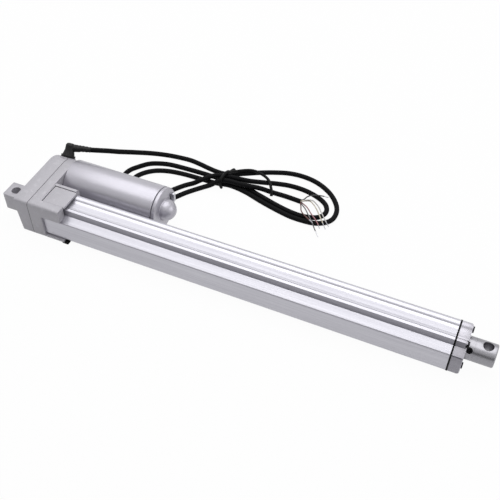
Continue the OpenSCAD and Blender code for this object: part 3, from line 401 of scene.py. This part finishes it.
def cast_paint():
    """Silver paint on a die casting: fine orange peel, sparkle and rubbed patches."""
    made = Finish("cast_paint", tone(150, 148, 156), 0.5, 0.15)
    speck = made.grain(0.0004, detail=3.0)
    cloud = made.grain(0.018)
    rubbed = made.between(made.grain(0.006, detail=4.0), 0.56, 0.7)
    mottle = made.between(speck, 0.35, 0.7)
    cover = mottle * 0.55 + cloud * 0.2 + rubbed * 0.2
    made.set(
        Base_Color=made.blend(cover, tone(168, 166, 172), tone(202, 200, 206)),
        Roughness=0.42 + speck * 0.2 - rubbed * 0.06,
    )
    return made.relief(speck * 0.8 + cloud * 0.2, 0.0001, 0.7)


def drawn_lines_and_painted_shade(made, bright, dark, painted_shade, side=0.0):
    """The extrusion's shades.

    Its last colour is painted shade: on the step, in the line under the ledge and, by side, on the front face.
    """
    step_out, step_in, step_foot, step_top = -0.0107, -0.0096, 0.0096, 0.0158
    line_in, line_foot, line_top = -0.0172, 0.0049, 0.0057
    face_in, face_top = -0.0174, 0.0092
    across, up = made.place("Y"), made.place("Z")
    # painted shade masks: the step, the line under the ledge, and the front face by the share side
    step = (across < step_in) * (across > step_out) * (up > step_foot) * (up < step_top)
    line = (across < line_in) * (up > line_foot) * (up < line_top)
    face = (across < face_in) * (up < face_top) * side
    drawn = made.grain(0.0003, (200, 1, 1))
    wide_line = made.grain(0.0016, (120, 1, 1))
    bare = made.blend(made.between(drawn * 0.6 + wide_line * 0.4, 0.35, 0.65), dark, bright)
    # the darker colour laid over these masks is painted shade
    made.set(Base_Color=made.blend(step * (0.5 + wide_line * 0.4) + line * 0.6 + face, bare, painted_shade))
    return drawn * 0.6 + wide_line * 0.4


def extruded_aluminium():
    """Anodised extrusion with fine lines drawn along it."""
    made = Finish("extruded_aluminium", tone(205, 204, 210), 0.34, 0.75)
    # the last colour is painted shade on the step and in the line under the ledge
    drawn = drawn_lines_and_painted_shade(made, tone(200, 199, 206), tone(178, 177, 185), tone(132, 130, 139))
    made.set(Roughness=0.29 + drawn * 0.12)
    return made.relief(drawn, 0.00003, 0.6)


def cap_aluminium():
    """Cast end cap, silver paint over it: softer than the tube; painted shade on its step and front face."""
    made = Finish("cap_aluminium", tone(190, 188, 196), 0.42, 0.55)
    cloud = made.grain(0.0012, detail=3.0)
    # painted shade: the last colour on the step and ledge line, and 0.45 of it on the front face
    drawn = drawn_lines_and_painted_shade(made, tone(198, 196, 203), tone(178, 176, 184), tone(92, 90, 99), 0.45)
    made.set(Roughness=0.38 + cloud * 0.14)
    return made.relief(cloud * 0.7 + drawn * 0.3, 0.00004, 0.6)


def turned_steel(name="turned_steel", shade=(152, 151, 156), roughness=0.33):
    """Turned and ground: fine rings round the rod, with a few matt rubs along it."""
    made = Finish(name, tone(*shade), roughness, 0.95)
    turned = made.grain(0.00025, (1, 80, 80))
    rub = made.between(made.grain(0.004, (4, 1, 1)), 0.55, 0.72)
    darker = tone(*(c - 16 for c in shade))
    lighter = tone(*(min(c + 10, 255) for c in shade))
    made.set(
        Base_Color=made.blend(turned, darker, lighter),
        Roughness=roughness - 0.05 + turned * 0.14 + rub * 0.08,
    )
    return made.relief(turned, 0.00002, 0.6)


def can_steel():
    """Nickel-plated deep-drawn steel: soft clouds and faint marks from drawing."""
    made = Finish("can_steel", tone(176, 174, 182), 0.38, 0.6)
    peel = made.grain(0.0011, (3, 1, 1))
    cloud = made.grain(0.014)
    drawn = made.grain(0.0005, (90, 1, 1))
    made.set(
        Base_Color=made.blend(cloud * 0.5 + drawn * 0.5, tone(168, 166, 174), tone(186, 184, 192)),
        Roughness=0.29 + peel * 0.12,
    )
    return made.relief(peel * 0.6 + drawn * 0.4, 0.00003, 0.5)


def plain_metal(name, shade, roughness, grain=0.0006):
    made = Finish(name, tone(*shade), roughness, 0.9)
    worn = made.grain(grain)
    made.set(
        Base_Color=made.blend(worn, tone(*(c * 0.88 for c in shade)), tone(*shade)),
        Roughness=roughness - 0.06 + worn * 0.16,
    )
    return made.relief(worn, 0.00002, 0.5)


def moulded(name, shade, roughness, grain=0.0008, bump=0.00004, shift=0.82, gloss=0.5):
    made = Finish(name, tone(*shade), roughness, Specular_IOR_Level=gloss)
    skin = made.grain(grain, detail=3.0)
    made.set(
        Base_Color=made.blend(skin, tone(*(c * shift for c in shade)), tone(*shade)),
        Roughness=roughness - 0.08 + skin * 0.16,
    )
    return made.relief(skin, bump, 0.6)


def laminated_steel():
    made = Finish("laminated_steel", tone(120, 120, 124), 0.45, 0.8)
    sheets = made.place("X").wave(1 / 0.0005)
    made.set(
        Base_Color=made.blend(sheets, tone(84, 84, 88), tone(140, 140, 144)),
        Roughness=0.38 + sheets * 0.14,
    )
    return made.relief(sheets, 0.00005, 0.6)


def wound_copper():
    made = Finish("wound_copper", tone(168, 92, 52), 0.32, 0.7, Coat_Roughness=0.2)
    strand = (made.place("Y") + made.place("Z") * 0.35 + made.grain(0.004) * 0.0006).wave(1 / 0.0006)
    made.set(
        Base_Color=made.blend(strand, tone(120, 58, 30), tone(184, 104, 60)),
        Coat_Weight=0.3 + strand * 0.3,
    )
    return made.relief(strand, 0.00012, 0.7)


def segmented_copper():
    made = Finish("segmented_copper", tone(186, 118, 74), 0.28, 0.95)
    track = made.place("X").wave(1 / 0.0012)
    made.set(
        Base_Color=made.blend(track, tone(164, 98, 58), tone(198, 130, 84)),
        Roughness=0.22 + track * 0.14,
    )
    return made.relief(track, 0.00003, 0.5)


def braided_sleeve():
    """Flat strands that cross over and under. U runs round the cord, V along it in the same measure."""
    made = Finish("braided_sleeve", tone(7, 7, 8), 0.6, Specular_IOR_Level=0.08)
    around, along = made.uv("X"), made.uv("Y")
    right, left = along + around, along - around
    over = (right * 8).maths("FLOOR") + (left * 8).maths("FLOOR")
    swap = (over * 0.5).maths("FRACT") > 0.25
    height = right.wave(8) * swap + left.wave(8) * (1 - swap)
    made.set(
        Base_Color=made.blend(height, tone(3, 3, 4), tone(12, 12, 14)),
        Roughness=0.5 + height * 0.16,
    )
    return made.relief(height, 0.0003, 0.8)


def wire_skin(name, shade):
    """Smooth insulation on a thin lead, with a little dust."""
    made = Finish(name, tone(*shade), 0.36)
    dust = made.grain(0.0007, detail=3.0)
    made.set(
        Base_Color=made.blend(dust, tone(*(c * 0.86 for c in shade)), tone(*shade)),
        Roughness=0.3 + dust * 0.18,
    )
    return made.relief(dust, 0.00002, 0.4)


finishes = {
    "cast_paint": cast_paint(),
    "tube": extruded_aluminium(),
    "cap": cap_aluminium(),
    "rod": turned_steel(),
    "can": can_steel(),
    "black_rubber": moulded("black_rubber", (12, 12, 13), 0.62, gloss=0.12),
    "gland_rubber": moulded("gland_rubber", (8, 8, 9), 0.46, 0.0006, gloss=0.25),
    "black_screw": plain_metal("black_screw", (30, 30, 33), 0.42),
    "zinc_screw": plain_metal("zinc_screw", (150, 150, 156), 0.35),
    "bearing_steel": plain_metal("bearing_steel", (168, 168, 174), 0.22),
    "gear_steel": plain_metal("gear_steel", (150, 150, 156), 0.34),
    "screw_steel": turned_steel("screw_steel", (150, 150, 156), 0.3),
    "tin": plain_metal("tin", (196, 196, 202), 0.28),
    "nylon": moulded("nylon", (222, 216, 198), 0.45, shift=0.95),
    "bronze": plain_metal("bronze", (178, 138, 84), 0.4),
    "ferrite": moulded("ferrite", (66, 66, 70), 0.6),
    "carbon": moulded("carbon", (52, 50, 50), 0.7),
    "paper": moulded("paper", (60, 58, 58), 0.85, 0.001, gloss=0.2),
    "board": moulded("board", (44, 96, 58), 0.5),
    "switch_plastic": moulded("switch_plastic", (30, 30, 34), 0.4),
    "tie_plastic": moulded("tie_plastic", (6, 6, 7), 0.46, 0.001, gloss=0.1),
    "laminated": laminated_steel(),
    "copper": wound_copper(),
    "commutator": segmented_copper(),
    "braid": braided_sleeve(),
    "black_wire": wire_skin("black_wire", (26, 26, 28)),
    "brown_wire": wire_skin("brown_wire", (104, 66, 62)),
    "grey_wire": wire_skin("grey_wire", (112, 112, 114)),
    "cream_wire": wire_skin("cream_wire", (226, 218, 198)),
    "white_wire": wire_skin("white_wire", (216, 214, 210)),
    "rose_wire": wire_skin("rose_wire", (170, 120, 124)),
}


# ---------------------------------------------------------------- ways of making
def let_go():
    if bpy.context.object and bpy.context.object.mode != "OBJECT":
        bpy.ops.object.mode_set(mode="OBJECT")
    bpy.ops.object.select_all(action="DESELECT")


def hold(piece):
    let_go()
    piece.select_set(True)
    bpy.context.view_layer.objects.active = piece
    return piece


def modify(piece, kind, **settings):
    """Adds a modifier and applies it."""
    hold(piece)
    made = piece.modifiers.new(kind.lower(), kind)
    for name, value in settings.items():
        setattr(made, name, value)
    bpy.ops.object.modifier_apply(modifier=made.name)
    return piece


def soften(piece, width, steps=3, sharp=40):
    """Rounds the edges that are sharper than an angle, in millimetres."""
    return modify(piece, "BEVEL", width=width * MM, segments=steps, limit_method="ANGLE",
                  angle_limit=math.radians(sharp), use_clamp_overlap=True)


def complete(piece, name, finish, body, smooth=35, stands_for=()):
    """Names a piece, puts its place in its mesh, gives its finish and lets it ride on a body."""
    hold(piece)
    piece.name = piece.data.name = name
    bpy.ops.object.transform_apply(location=True, rotation=True, scale=True)
    bpy.ops.object.shade_smooth_by_angle(angle=math.radians(smooth))
    piece.data.materials.clear()
    piece.data.materials.append(finishes[finish].material)
    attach(piece, body)
    for node in stands_for:
        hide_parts(node)
    return piece


def merged_copy(node, flat=0.6):
    """A copy of a CAD node with its triangles merged into whole faces."""
    piece = bpy.data.objects.new(node + "_copy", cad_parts[node].data.copy())
    bpy.context.collection.objects.link(piece)
    hold(piece)
    bpy.ops.object.mode_set(mode="EDIT")
    bpy.ops.mesh.select_all(action="SELECT")
    bpy.ops.mesh.remove_doubles(threshold=0.002 * MM)
    bpy.ops.mesh.dissolve_limited(angle_limit=math.radians(flat))
    bpy.ops.object.mode_set(mode="OBJECT")
    return piece


def rounded_copy(node, name, finish, body, width, steps=3, sharp=40):
    """A copy of a CAD node with its sharp edges rounded, shown in the node's place."""
    piece = soften(merged_copy(node), width, steps, sharp)
    return complete(piece, name, finish, body, stands_for=[node])


def block(size, width, steps=2):
    """A block with rounded edges, its middle at the origin, in millimetres."""
    let_go()
    bpy.ops.mesh.primitive_cube_add(size=1.0, location=(0, 0, 0))
    piece = bpy.context.active_object
    bpy.ops.object.mode_set(mode="EDIT")
    bpy.ops.mesh.select_all(action="SELECT")
    bpy.ops.transform.resize(value=tuple(s * MM for s in size), center_override=(0, 0, 0))
    bpy.ops.mesh.bevel(offset=width * MM, segments=steps, affect="EDGES")
    bpy.ops.object.mode_set(mode="OBJECT")
    return piece


def stand(piece, place, out, along=(1, 0, 0)):
    """Turns a piece so that its Z points out and its X runs along, and puts it at a place."""
    up = Vector(out).normalized()
    run = (Vector(along) - up * up.dot(Vector(along))).normalized()
    turn = Matrix((run, up.cross(run), up)).transposed().to_4x4()
    piece.matrix_world = Matrix.Translation(place) @ turn
    return piece


# ---------------------------------------------------------------- cord, ties and wires
def sleeved_cord():
    line = flowing(CORD_ROUTE, 6)
    wires = loose_wires()
    ties = [
        complete(hose("tie", flowing(route, 5), TIE_DIAMETER / 2, 10), name, "tie_plastic", "base",
                 60, ["cord_tie"])
        for name, route in zip(("bundle_tie", "tie_tail"), TIE_ROUTES)
    ]
    cord = hose("cord", line, CORD_DIAMETER / 2, 16)
    complete(cord, "sleeved_cord", "braid", "base", 60, ["power_cord"])
    line_length(line)
    return line


def loose_wires():
    bare_rings, tip_radius = 4, WIRE_DIAMETER * 0.33
    wires, tips = [], []
    names = ("black_wire", "brown_wire", "grey_wire", "rose_wire", "cream_wire", "white_wire")
    for name, route in zip(names, WIRE_ROUTES):
        line = flowing(route, 6)
        cut = len(line) - 1 - bare_rings
        skin = hose(name, line[:cut + 1], WIRE_DIAMETER / 2, 10)
        wires.append(complete(skin, "loose_" + name, name, "base", 60, ["cord_wires"]))
        tips.append(hose(name + "_tip", line[cut - 1:], tip_radius, 8))
    hold(tips[0])
    for tip in tips:
        tip.select_set(True)
    bpy.ops.object.join()
    wires.append(complete(tips[0], "bare_wire_tips", "tin", "base", 60, ["cord_wires"]))
    return wires


def ribbed_boot(line):
    """The gland's tapered tail: five soft ribs round the first stretch of the cord."""
    reach, tucked = 0.0165, 0.004
    mouth, taper, groove, ribs = 3.75, 0.95, 0.28, 5
    short = [p for p in line if (p - line[0]).length < reach]
    start = short[0] - (short[1] - short[0]).normalized() * tucked

    def radius(t):
        ridge = 0.5 + 0.5 * math.cos(math.tau * ribs * t)
        ribbed = 0.15 < t < 0.95
        return (mouth - taper * t - groove * (1 - ridge) * ribbed) * MM

    boot = hose("boot", flowing([start, *short], 6), radius, 32)
    return complete(boot, "gland_boot", "gland_rubber", "base", 50, ["cable_gland"])


cord_line = sleeved_cord()
ribbed_boot(cord_line)
rounded_copy("cable_gland", "gland_elbow", "gland_rubber", "base", 0.5, 3, 30)

# ---------------------------------------------------------------- castings, motor, tube and rod
rounded_copy("rear_housing", "rear_casting", "cast_paint", "base", 0.5)
gearbox_casting = rounded_copy("gearbox_housing", "gearbox_casting", "cast_paint", "base", 0.4)
rounded_copy("cradle_cover_plate", "cover_plate_casting", "cast_paint", "base", 0.4)
rounded_copy("motor_can", "drawn_can", "can", "base", 0.5, 3, 60)
motor_cap = rounded_copy("motor_end_cap", "pressed_motor_cap", "can", "base", 0.8, 4, 50)
rounded_copy("motor_terminal_clip", "terminal_tab", "tin", "base", 0.25, 2)
rounded_copy("front_end_cap", "milled_end_cap", "cap", "base", 0.25, 2, 50)
rounded_copy("rod_end", "turned_rod_end", "rod", "rod", 0.4, 3, 50)
rounded_copy("rod_set_screw", "socket_set_screw", "black_screw", "rod", 0.15, 2, 50)
rounded_copy("end_cap_screws", "cap_socket_screws", "black_screw", "base", 0.25, 2, 50)
rounded_copy("housing_screws", "casting_socket_screws", "black_screw", "base", 0.3, 2, 50)
rounded_copy("tube_gasket", "rubber_tube_gasket", "black_rubber", "base", 0.15, 2, 50)


def lip_plug():
    """Black block on the end of the cradle's lip under the tube: painted shade for the deep shadow there."""
    past_point, lip_middle, lip_height = 0.9, -17.2, -18.85
    shadow_block = block((6.4, 5.2, 2.1), 0.5, 3)
    place, _ = spot_on(gearbox_casting, "lip plug")
    middle = Vector((place.x + past_point * MM, lip_middle * MM, lip_height * MM))
    stand(shadow_block, middle, (0, 0, 1))
    return complete(shadow_block, "lip_plug", "black_rubber", "base")


def terminal_slot():
    """Black strip at the foot of the motor's tab: painted shade for the dark shadow line beside it."""
    sunk = 0.3
    strip = block((1.4, 8.4, 0.9), 0.2, 2)
    place, out = spot_on(motor_cap, "terminal slot")
    stand(strip, place - out * sunk * MM, out, (0, 1, 0))
    return complete(strip, "terminal_insulator", "black_rubber", "base")


lip_plug()
terminal_slot()

node_finish = {
    "housing_gasket": "paper", "tube_screws": "zinc_screw", "outer_tube": "tube", "guide_bush": "nylon",
    "rod_seal": "black_rubber", "motor_front_plate": "can", "motor_magnets": "ferrite",
    "motor_bearings": "bearing_steel", "motor_brushes": "carbon", "motor_screws": "black_screw",
    "switch_strip": "board", "rear_limit_switch": "switch_plastic", "front_limit_switch": "switch_plastic",
    "screw_bearing_outer": "bearing_steel", "screw_bearing_balls": "bearing_steel",
    "screw_tail_bush": "bronze", "idler_pin": "gear_steel", "lead_screw": "screw_steel",
    "screw_gear": "nylon", "screw_bearing_inner": "bearing_steel", "idler_gear": "gear_steel",
    "motor_shaft": "screw_steel", "armature_core": "laminated", "armature_windings": "copper",
    "commutator": "commutator", "motor_pinion": "gear_steel", "rod_tube": "rod", "drive_nut": "nylon",
    "motor_can": "can", "motor_end_cap": "can", "motor_terminal_clip": "tin", "front_end_cap": "cap",
    "rod_end": "rod", "rod_set_screw": "black_screw", "end_cap_screws": "black_screw",
    "housing_screws": "black_screw", "tube_gasket": "black_rubber", "cable_gland": "gland_rubber",
    "power_cord": "braid", "cord_wires": "tin", "cord_tie": "tie_plastic", "rear_housing": "cast_paint",
    "gearbox_housing": "cast_paint", "cradle_cover_plate": "cast_paint",
}
for node, finish in node_finish.items():
    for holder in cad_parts[node].material_slots:
        holder.material = finishes[finish].material


# ---------------------------------------------------------------- studio
def studio_floor():
    let_go()
    bpy.ops.mesh.primitive_plane_add(size=8.0, location=(0.2, 0.1, cad_box[0].z - 0.0003))
    floor = bpy.context.active_object
    floor.name = "studio_floor"
    bpy.ops.object.transform_apply(location=True, rotation=True, scale=True)
    pale = bpy.data.materials.new("pale_floor")
    pale.use_nodes = True
    nodes, links = pale.node_tree.nodes, pale.node_tree.links
    nodes.clear()
    rays, lit = nodes.new("ShaderNodeLightPath"), nodes.new("ShaderNodeBsdfDiffuse")
    glow, mixed = nodes.new("ShaderNodeEmission"), nodes.new("ShaderNodeMixShader")
    seen, share = nodes.new("ShaderNodeMath"), nodes.new("ShaderNodeMath")
    more, out = nodes.new("ShaderNodeMath"), nodes.new("ShaderNodeOutputMaterial")
    lit.inputs["Color"].default_value = (0.9, 0.9, 0.905, 1)
    glow.inputs["Color"].default_value = (1, 1, 1, 1)
    seen.operation, more.operation, share.operation = "MAXIMUM", "MAXIMUM", "MULTIPLY"
    links.new(rays.outputs["Is Camera Ray"], seen.inputs[0])
    links.new(rays.outputs["Is Glossy Ray"], seen.inputs[1])
    links.new(seen.outputs[0], more.inputs[0])
    links.new(rays.outputs["Is Transmission Ray"], more.inputs[1])
    links.new(more.outputs[0], share.inputs[0])
    share.inputs[1].default_value = 0.96
    links.new(share.outputs[0], mixed.inputs[0])
    links.new(lit.outputs[0], mixed.inputs[1])
    links.new(glow.outputs[0], mixed.inputs[2])
    links.new(mixed.outputs[0], out.inputs["Surface"])
    floor.data.materials.append(pale)
    floor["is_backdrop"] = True


def studio_light(name, place, aim, size, power):
    lamp = bpy.data.lights.new(name, "AREA")
    lamp.shape, lamp.size, lamp.size_y, lamp.energy = "RECTANGLE", size[0], size[1], power
    holder = bpy.data.objects.new(name, lamp)
    bpy.context.collection.objects.link(holder)
    holder.location = place
    holder.rotation_euler = (Vector(aim) - Vector(place)).to_track_quat("-Z", "Y").to_euler()


def studio_world():
    world = bpy.data.worlds.new("pale_room")
    bpy.context.scene.world = world
    world.use_nodes = True
    nodes, links = world.node_tree.nodes, world.node_tree.links
    nodes.clear()
    rays, seen, more = (nodes.new(k) for k in ("ShaderNodeLightPath", "ShaderNodeMath", "ShaderNodeMath"))
    soft, white = nodes.new("ShaderNodeBackground"), nodes.new("ShaderNodeBackground")
    mixed, out = nodes.new("ShaderNodeMixShader"), nodes.new("ShaderNodeOutputWorld")
    soft.inputs["Color"].default_value = (0.97, 0.97, 1.0, 1)
    soft.inputs["Strength"].default_value = 0.26
    white.inputs["Color"].default_value = (1, 1, 1, 1)
    seen.operation = more.operation = "MAXIMUM"
    links.new(rays.outputs["Is Camera Ray"], seen.inputs[0])
    links.new(rays.outputs["Is Glossy Ray"], seen.inputs[1])
    links.new(seen.outputs[0], more.inputs[0])
    links.new(rays.outputs["Is Transmission Ray"], more.inputs[1])
    links.new(more.outputs[0], mixed.inputs[0])
    links.new(soft.outputs[0], mixed.inputs[1])
    links.new(white.outputs[0], mixed.inputs[2])
    links.new(mixed.outputs[0], out.inputs["Surface"])


def dark_card():
    """Unlit side of the studio, behind the camera. Metal shows it as a dark band."""
    let_go()
    bpy.ops.mesh.primitive_plane_add(size=1.0, location=(0.2, -1.5, 0.48), rotation=(math.radians(90), 0, 0))
    card = bpy.context.active_object
    card.name = "dark_card"
    card.scale = (4.0, 0.72, 1.0)
    bpy.ops.object.transform_apply(location=True, rotation=True, scale=True)
    dark = bpy.data.materials.new("dark_card")
    dark.use_nodes = True
    shader = dark.node_tree.nodes["Principled BSDF"]
    shader.inputs["Base Color"].default_value = (0.02, 0.02, 0.022, 1)
    shader.inputs["Roughness"].default_value = 0.9
    card.data.materials.append(dark)
    card.visible_camera = False
    card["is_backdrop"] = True


studio_floor()
studio_world()
dark_card()
studio_light("overhead_softbox", (-0.05, 0.4, 1.35), (-0.05, 0.3, 0.0), (1.9, 1.8), 20)
studio_light("side_softbox", (1.5, 0.3, 0.5), (0.2, 0.0, 0.0), (0.9, 0.6), 3)

bpy.context.scene.view_settings.view_transform = "Standard"


# ---------------------------------------------------------------- how true the image points are
def whole_surface(pieces):
    corners, faces = [], []
    for piece in pieces:
        first = len(corners)
        corners += [piece.matrix_world @ v.co for v in piece.data.vertices]
        faces += [tuple(first + number for number in face.vertices) for face in piece.data.polygons]
    return BVHTree.FromPolygons(corners, faces)


def shows(surface, place):
    """The pixel where a place shows, or None if something hides it."""
    start = camera.matrix_world.translation
    gap = place - start
    if surface.ray_cast(start, gap.normalized(), gap.length - 0.4 * MM)[0] is not None:
        return None
    x, y = seen_at(place)
    return (x, y) if 0 <= x <= PHOTO and 0 <= y <= PHOTO else None


def middle_shown(surface, name, low, high):
    """The middle of what shows of a finished piece inside a box, in millimetres."""
    spots = []
    for corner in bpy.data.objects[name].data.vertices:
        if all(a * MM <= c <= b * MM for a, c, b in zip(low, corner.co, high)):
            spot = shows(surface, corner.co)
            if spot:
                spots.append(spot)
    if not spots:
        return None
    across, down = zip(*spots)
    return (min(across) + max(across)) / 2, (min(down) + max(down)) / 2


def edge_shown(surface, places, side, sign):
    """How far the outline reaches to one side, by the finished vertices that show."""
    for place in sorted(places, key=lambda p: sign * seen_at(p)[side]):
        spot = shows(surface, place)
        if spot:
            return spot[side]
    return None


EVERYWHERE = (-500, -500, -500), (500, 500, 500)
SHOWN_BY = {
    "rear hole": ("rear_casting", (-5.2, -5.2, 8.4), (5.2, 5.2, 9.2)),
    "rod hole": ("turned_rod_end", (450, -5.2, 8.5), (460, 5.2, 10.2)),
    "lug corner": ("rear_casting", (-9.3, 7.6, 8.4), (-7.8, 9.2, 9.2)),
    "housing foot": ("gearbox_casting", (55, -20.5, -20.5), (63, -17, -17)),
    "cradle corner": ("gearbox_casting", (60.8, -20.2, 17.5), (62.2, -16.5, 20.2)),
    "cover plate": ("cover_plate_casting", *EVERYWHERE),
    "cable gland": ("gland_elbow", *EVERYWHERE),
    "terminal tab": ("terminal_tab", *EVERYWHERE),
    "motor dome": ("pressed_motor_cap", (139.2, 0, -50), (200, 90, 50)),
    "tube gasket top": ("rubber_tube_gasket", (400, 5, 16.5), (500, 12, 20)),
    "tube gasket foot": ("rubber_tube_gasket", (400, -20, -18.2), (500, -14, -14)),
    "set screw": ("socket_set_screw", *EVERYWHERE),
    "lip plug": ("lip_plug", *EVERYWHERE),
    "cord loop": ("sleeved_cord", (281, 116, -30), (290, 124, 0)),
    "terminal slot": ("terminal_insulator", *EVERYWHERE),
}


def write_points():
    bpy.context.view_layer.update()
    pieces = [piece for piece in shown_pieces() if piece.type == "MESH"]
    surface = whole_surface(pieces)
    free = {"sleeved_cord", "bundle_tie", "tie_tail", "bare_wire_tips"}
    solid = [p.matrix_world @ v.co for p in pieces if p.name not in free and not p.name.startswith("loose_")
             for v in p.data.vertices]
    edges = {"left edge": (0, 1), "right edge": (0, -1), "top edge": (1, 1), "bottom edge": (1, -1)}
    for name, (side, sign) in edges.items():
        reach = edge_shown(surface, solid, side, sign)
        {"xy"[side]: round(reach - POINTS[name][side], 2)}
    for name, (piece, low, high) in SHOWN_BY.items():
        spot = middle_shown(surface, piece, low, high)
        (None if spot is None else {
            "x": round(spot[0] - POINTS[name][0], 2), "y": round(spot[1] - POINTS[name][1], 2)})


write_points()
